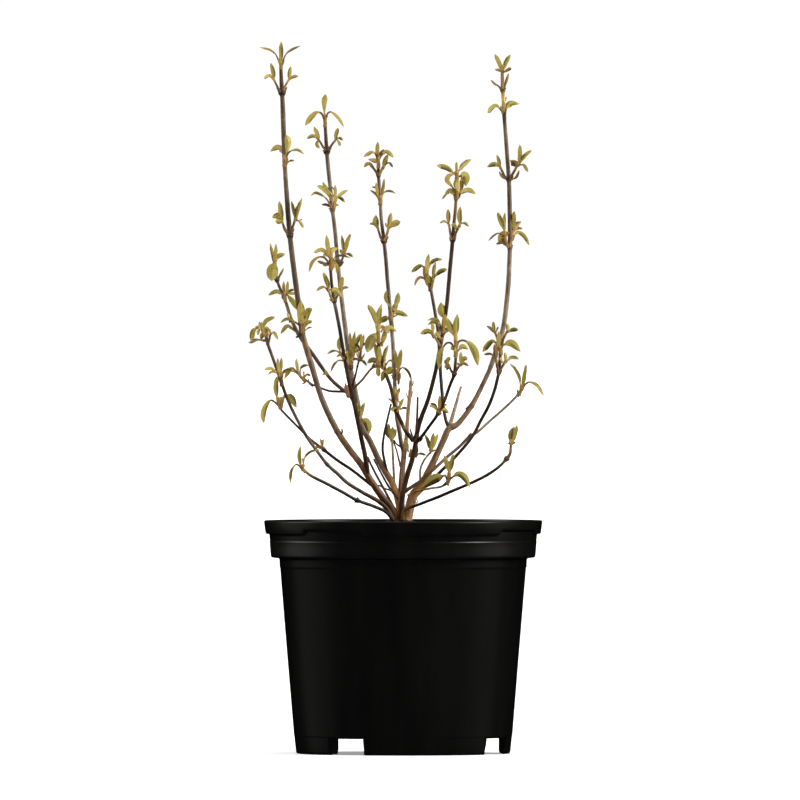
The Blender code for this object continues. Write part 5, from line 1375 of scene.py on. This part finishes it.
    ("leaves_basal_right_tip", "stem_basal_right", 511, 445, """
l 510.6,445 510.6,434 514.4,426.2 4.6 green>
l 511.6,444.5 514.3,436 517,425 4.2 green>
l 511.3,445 513.5,442.9 516,441.5 2.4 amber
l 510.8,445.3 509.4,443.5 507.9,443 1.9 brown
b 511,448 511.2,441.5 3.0 gold"""),
    ("leaves_front_right_tip", "twig_front_right", 449, 480, """
s 447.6,484 449.3,478 449.2,468 2.9 gold
l 449,473 446.8,464 444.2,455.2 4.6 yellow>
l 449.6,473.5 451.5,464 453.7,454.2 4.5 yellow>
s 447.6,484.5 446.8,478.5 445,475.2 1.9 brown
w 445.6,475.2 434.5,478.9 420.6,489 9.0 green_v
w 450,479 457.5,474.2 464.6,477.5 469.9,487.5 6.4 green_v
b 448.4,486 446.4,480 3.0 amber"""),
    ("slant_twig", "stem_right_slant", 430.6, 452, """
l 430,451 428,441 424.7,434.2 3.5 dark
l 431,451 432.3,441 433.6,432.6 4.0 olive>
l 431.6,450.5 435,441 438.4,433.5 3.6 green_v
l 431,452.5 434,450.3 436.7,450 1.9 amber
b 430.4,454 430.8,446.5 3.0 gold"""),
)
# tufts whose depth is not their limb's own (twig ends): depth in mm
TUFT_DEPTH = {"leaves_slant_left_twig": -2.0, "leaves_right_twig": -7.0, "bud_twig": -14.0, "green_shoot": 3.0,
              "slant_twig": -6.0, "centre_small": -6.0}
# tufts seen in front of what is beside them; this table is not read
TUFT_SHIFT = {"leaves_front_right_tip": 0.0}

leaf_verts, leaf_faces, leaf_mats = [], [], []
stalk_verts, stalk_faces, stalk_mats = [], [], []
bud_verts, bud_faces, bud_mats = [], [], []
LEAF_BASE = {"gold": "amber", "amber": "amber", "brown": "brown", "pale": "gold", "yellow": "gold", "olive": "gold", "green": "olive", "dark": "green", "deep": "dark"}
# painted shade: a darker tint for the shaded half of a blade, and a darker one still for that half's outer quarter
LEAF_SHADE = {"gold": "amber", "amber": "brown", "brown": "brown", "pale": "yellow", "yellow": "olive", "olive": "green", "green": "dark", "dark": "deep"}
LEAF_SHADE_EDGE = {"gold": "brown", "amber": "brown", "brown": "brown", "pale": "olive", "yellow": "dark", "olive": "dark", "green": "deep", "dark": "deep"}
LEAF_TIP = {"gold": "gold", "amber": "amber", "brown": "brown", "pale": "yellow", "yellow": "olive", "olive": "yellow", "green": "olive", "dark": "green"}


def limb_at_row(limb, u, v):
    """Depth (mm), column and radius of a limb at the point nearest to a column and row."""
    p = PATHS[limb]
    x = (u - AXIS_U) * CELL
    z = (FLOOR_V - v) * CELL
    i = int(np.argmin((p[:, 0] - x) ** 2 + (p[:, 2] - z) ** 2))
    return p[i, 4], p[i, 0] / CELL + AXIS_U, p[i, 5]


def leaf(points, width, tint, rnd, fold=0.6, roll=None, form="l", dim=""):
    """One thin leaf: a closed shell along its midrib, folded along it, with a pointed tip and a round stalk.

    form: l lance-shaped, o widest near its tip, w broad and oval, r narrow on a long arching stalk.
    dim: the side whose half of the blade is painted in shade, > right, < left, ^ upper, v lower, = none.
    """
    p = curve_points(points, 0.0011)
    if len(p) < 10:
        p = curve_points(points, np.linalg.norm(np.diff(np.array(points), axis=0), axis=1).sum() / 9.0)
    n = len(p)
    length = np.linalg.norm(np.diff(p, axis=0), axis=1).sum()
    d = np.gradient(p, axis=0)
    t = d / np.maximum(np.linalg.norm(d, axis=1, keepdims=True), 1e-12)
    y = np.array([0.0, 1.0, 0.0])
    real = max(width, min(0.30 * length, 0.0062, width * 1.55))
    phi = math.acos(min(1.0, width / real)) if roll is None else roll
    phi *= rnd.choice((-1, 1))
    f = np.linspace(0, 1, n)
    bend = math.acos(max(-1.0, min(1.0, float(t[0] @ t[-1])))) / (0.5 * math.pi)
    size = min(1.0, max(0.0, length / CELL - 6.0) / 8.0)
    # a leaf that arches over has a longer stalk
    fold *= 0.5 if form == "r" else 1.0
    neck = {"l": 0.02 + 0.16 * min(1.0, bend) * size, "o": 0.10, "w": 0.06 + 0.10 * min(1.0, bend) * size, "r": 0.30}[form]
    rise, fall = {"l": (0.90, 0.80), "o": (1.75, 0.74), "w": (0.62, 0.92), "r": (0.85, 0.85)}[form]
    q = np.clip((f - neck) / (1 - neck), 0, 1)
    shape = q ** rise * (1 - q) ** fall
    shape /= shape.max()
    # the foot: a short round stalk that runs into the blade
    stem = np.clip((neck + 0.32 - f) / 0.32, 0, 1) ** 0.6
    foot = min(0.66 * width, 0.00185) * stem / real
    shape = np.maximum(shape, foot + 0.015)
    half = 0.5 * real * shape
    thick = 0.00026 + 0.00016 * (1 - f) + min(0.5 * width, 0.00125) * np.clip((neck + 0.16 - f) / 0.16, 0, 1) ** 0.7
    base = len(leaf_verts)
    side0 = None
    for i in range(n):
        across = np.cross(t[i], y)
        m = np.linalg.norm(across)
        if m < 0.15 and side0 is not None:
            across = side0 - t[i] * (side0 @ t[i])
            m = np.linalg.norm(across)
        across = across / max(m, 1e-9)
        if side0 is not None and across @ side0 < 0:
            across = -across
        side0 = across
        if i == n // 2:
            dim_side = across
        deep = np.cross(t[i], across)
        turn = phi * (0.90 + 0.10 * f[i]) if f[i] > neck + 0.1 else phi * 0.90 * (f[i] / (neck + 0.1))
        w = across * math.cos(turn) + deep * math.sin(turn)
        up = np.cross(w, t[i])
        lift = fold * half[i] * min(1.0, q[i] * 3.0)
        wave = 0.08 * half[i] * math.sin(11 * f[i] + 3 * phi) * min(1.0, q[i] * 3.0)
        # the fold and the roll move the outline sideways; the line given is the middle of what is seen
        mid = p[i] - across * float(up @ across) * lift
        left, right = mid - w * half[i] + up * (lift + wave), mid + w * half[i] + up * (lift - wave)
        ql, qr = mid - w * half[i] * 0.5 + up * lift * 0.38, mid + w * half[i] * 0.5 + up * lift * 0.38
        h = up * thick[i] * 0.5
        rib = up * thick[i] * 0.7
        for v in (left, ql + h, mid + h * 0.8, qr + h, right, qr - h, mid - rib, ql - h):
            leaf_verts.append(tuple(v))
    mats = (LEAF_BASE[tint], tint, LEAF_TIP[tint])
    # painted shade: one half of the blade gets darker tints, darkest on its outer quarter; unmarked leaves mostly get
    # it on a random half
    shaded, edge = LEAF_SHADE[tint], LEAF_SHADE_EDGE[tint]
    if dim == "=" or (not dim and rnd.random() > 0.80):
        shaded = edge = tint
    flip = rnd.random() < 0.5
    if dim and dim != "=":
        way = {">": (1, 0, 0), "<": (-1, 0, 0), "^": (0, 0, 1), "v": (0, 0, -1)}[dim]
        flip = float(dim_side @ np.array(way, float)) > 0
    if form == "r":
        stalk_tint = "amber" if tint == "dark" else "brown"
    else:
        stalk_tint = "brown" if tint in ("brown", "dark") or (bend > 0.75 and size > 0.5) else "amber"
    for i in range(n - 1):
        g = (i + 0.5) / (n - 1)
        for k in range(8):
            k2 = (k + 1) % 8
            half_side = (k in (0, 1, 6, 7)) ^ flip
            if g < neck + 0.04:
                m = stalk_tint
            elif g < neck + 0.18:
                m = mats[0]
            elif g > 0.82:
                m = mats[2]
            else:
                m = tint if not half_side else edge if k in (0, 3, 4, 7) else shaded
            m = TINT_AT[m]
            leaf_faces.append((base + i * 8 + k, base + i * 8 + k2, base + (i + 1) * 8 + k2, base + (i + 1) * 8 + k))
            leaf_mats.append(m)
    leaf_faces.append(tuple(base + k for k in reversed(range(8))))
    leaf_mats.append(TINT_AT[mats[0]])
    leaf_faces.append(tuple(base + (n - 1) * 8 + k for k in range(8)))
    leaf_mats.append(TINT_AT[mats[2]])


def stalk(points, width, tint, rnd):
    p = curve_points(points, 0.0009)
    n = len(p)
    f = np.linspace(0, 1, n)
    r = 0.5 * width * 1.12 * (1.14 - 0.22 * f + 0.16 * np.exp(-((1 - f) * 5) ** 2))
    sides = 8
    wob = 1 + 0.06 * np.sin(np.arange(sides)[None, :] * 2.4 + np.arange(n)[:, None] * 0.8)
    v2, f2 = lathe_tube(p, r, sides, wob)
    base = len(stalk_verts)
    stalk_verts.extend(v2)
    upper = {"brown": "amber", "gold": "gold"}.get(tint, tint)
    lower = {"gold": "amber"}.get(tint, tint)
    for j, g in enumerate(f2):
        stalk_faces.append(tuple(q + base for q in g))
        at_f = (j // sides) / n if j < (n - 1) * sides else j % 2
        stalk_mats.append(TINT_AT[upper if at_f > 0.66 else lower])


def bud(a, b, width, tint):
    """A pointed scale or bud from a to b, its cross-section pinched into an oval."""
    a, b = np.array(a), np.array(b)
    p = curve_points([tuple(a), tuple((a + b) / 2), tuple(b)], np.linalg.norm(b - a) / 8)
    n = len(p)
    f = np.linspace(0, 1, n)
    r = 0.5 * width * np.maximum(0.10, (np.clip(f + 0.10, 0, 1) ** 0.6) * (np.clip(1.0 - f, 0, 1) ** 0.75) * 1.75)
    sides = 8
    wob = 1 + 0.16 * np.cos(2 * (2 * math.pi * np.arange(sides)[None, :] / sides) + 0 * f[:, None]) * np.sin(math.pi * f)[:, None]
    v2, f2 = lathe_tube(p, r, sides, wob)
    base = len(bud_verts)
    bud_verts.extend(v2)
    for g in f2:
        bud_faces.append(tuple(q + base for q in g))
        bud_mats.append(TINT_AT[tint])


def grow():
    rnd = random.Random(2024)
    for number, (name, limb, nu, nv, rows) in enumerate(TUFTS):
        own = TUFT_DEPTH.get(name)
        d0, u0, r0 = limb_at_row(limb, nu, nv)
        if own is not None:
            d0, u0, r0 = own, nu, 0.0009
        lean = math.tan(math.radians(rnd.uniform(24, 40))) * (1 if number % 2 else -1)

        def depth(u, v):
            dl, ul, rl = d0, u0, r0
            if own is None:
                dl, ul, rl = limb_at_row(limb, u0, v)
                if abs(v - nv) >= 30:
                    dl, ul, rl = d0, u0, r0
            # what crosses the limb in this view sits on its front
            off = (u - ul) * CELL
            front = (rl + 0.0004) * 1000 * math.exp(-(off / (rl * 1.7)) ** 2)
            return dl + (u - u0) * CELL * 1000 * lean - front

        alternate = 1 if rnd.random() < 0.5 else -1
        for row in rows.strip().splitlines():
            part = row.split()
            ahead, kind, tint, width = part[0].isupper(), part[0].lower(), part[-1], float(part[-2])
            dim = tint[-1] if tint[-1] in "<>^=" or tint.endswith("_v") else ""
            tint = tint.rstrip("<>^=").replace("_v", "")
            pts = [tuple(float(c) for c in q.split(",")) for q in part[1:-2]]
            span = sum(math.dist(a, b) for a, b in zip(pts, pts[1:]))
            reach = 0.0
            if kind in "lowr":
                alternate = -alternate
                reach = alternate * span * CELL * 1000 * rnd.uniform(0.18, 0.55)
                du, dv = pts[-1][0] - u0, nv - pts[-1][1]
                if abs(du) < 4.5 and dv > 4:
                    reach = -abs(reach) * 0.6
                if ahead:
                    reach = -abs(reach)
            out, gone = [], 0.0
            for i, (u, v) in enumerate(pts):
                if i:
                    gone += math.dist(pts[i - 1], pts[i])
                f = gone / span
                q = at(u, v, depth(u, v) + reach * f ** 1.3)
                out.append((q.x, q.y, q.z))
            if kind in "lowr":
                form = "w" if kind == "l" and width > 5.4 else kind
                leaf(out, width * CELL * 1.09, tint, rnd, fold=rnd.uniform(0.45, 0.85), form=form, dim=dim)
            elif kind == "s":
                stalk(out, width * CELL, tint, rnd)
            else:
                bud(out[0], out[-1], width * CELL, {"gold": "amber"}.get(tint, tint))

        # growth the front view doesn't show: a few leaves behind each node
        base_u = u0
        for j in range(2):
            size = rnd.uniform(9.0, 15.0)
            side = rnd.uniform(-0.20, 0.20)
            rise = rnd.uniform(0.55, 0.95) if j == 0 else rnd.uniform(0.1, 0.4)
            a = (base_u, nv - 1.0, d0)
            mid = (base_u + side * size * 0.5, nv - 1 - size * rise * 0.6, d0 + size * CELL * 1000 * 0.55)
            end = (base_u + side * size, nv - 1 - size * (rise - 0.15), d0 + size * CELL * 1000 * 0.98)
            pts = [tuple(at(*q)) for q in (a, mid, end)]
            leaf(pts, 2.2 * CELL, rnd.choice(("gold", "olive", "yellow")), rnd, roll=rnd.uniform(0.9, 1.3))

    # old bud scales: a small cup to the left and right of every node that swells by 0.5 or more
    for limb in LIMBS:
        p = PATHS[limb]
        for v, k in LIMBS[limb][2]:
            if k < 0.5:
                continue
            i = min(max(1, int(np.argmin(abs(p[:, 3] - v)))), len(p) - 2)
            c = p[i, :3]
            t = p[i + 1, :3] - p[i - 1, :3]
            t /= np.linalg.norm(t)
            side = np.array((t[2], 0.0, -t[0]))
            side /= np.linalg.norm(side)
            r = p[i, 5]
            for sign in (-1, 1):
                k = rnd.uniform(0.85, 1.2)
                a = c + side * sign * r * 0.25 - t * 0.0007
                b = c + side * sign * (r + 0.00055 * k) + t * 0.0017 * k
                bud(a, b, 0.0017 * k, "brown")


grow()

masses = sorted(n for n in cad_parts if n.startswith("leaves_"))
mats = [TINTS[n] for n in TINT_NAMES]
leaves = make_object("young_leaves", leaf_verts, leaf_faces, mats, leaf_mats, smooth=32)
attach(leaves, "root")
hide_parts(*masses)
stalks = make_object("leaf_stalks", stalk_verts, stalk_faces, mats, stalk_mats)
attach(stalks, "root")
buds = make_object("buds", bud_verts, bud_faces, mats, bud_mats)
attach(buds, "root")
print("leaf triangles", sum(len(f) - 2 for f in leaf_faces), "stalks", len(stalk_faces) * 2, "buds", len(bud_faces) * 2)
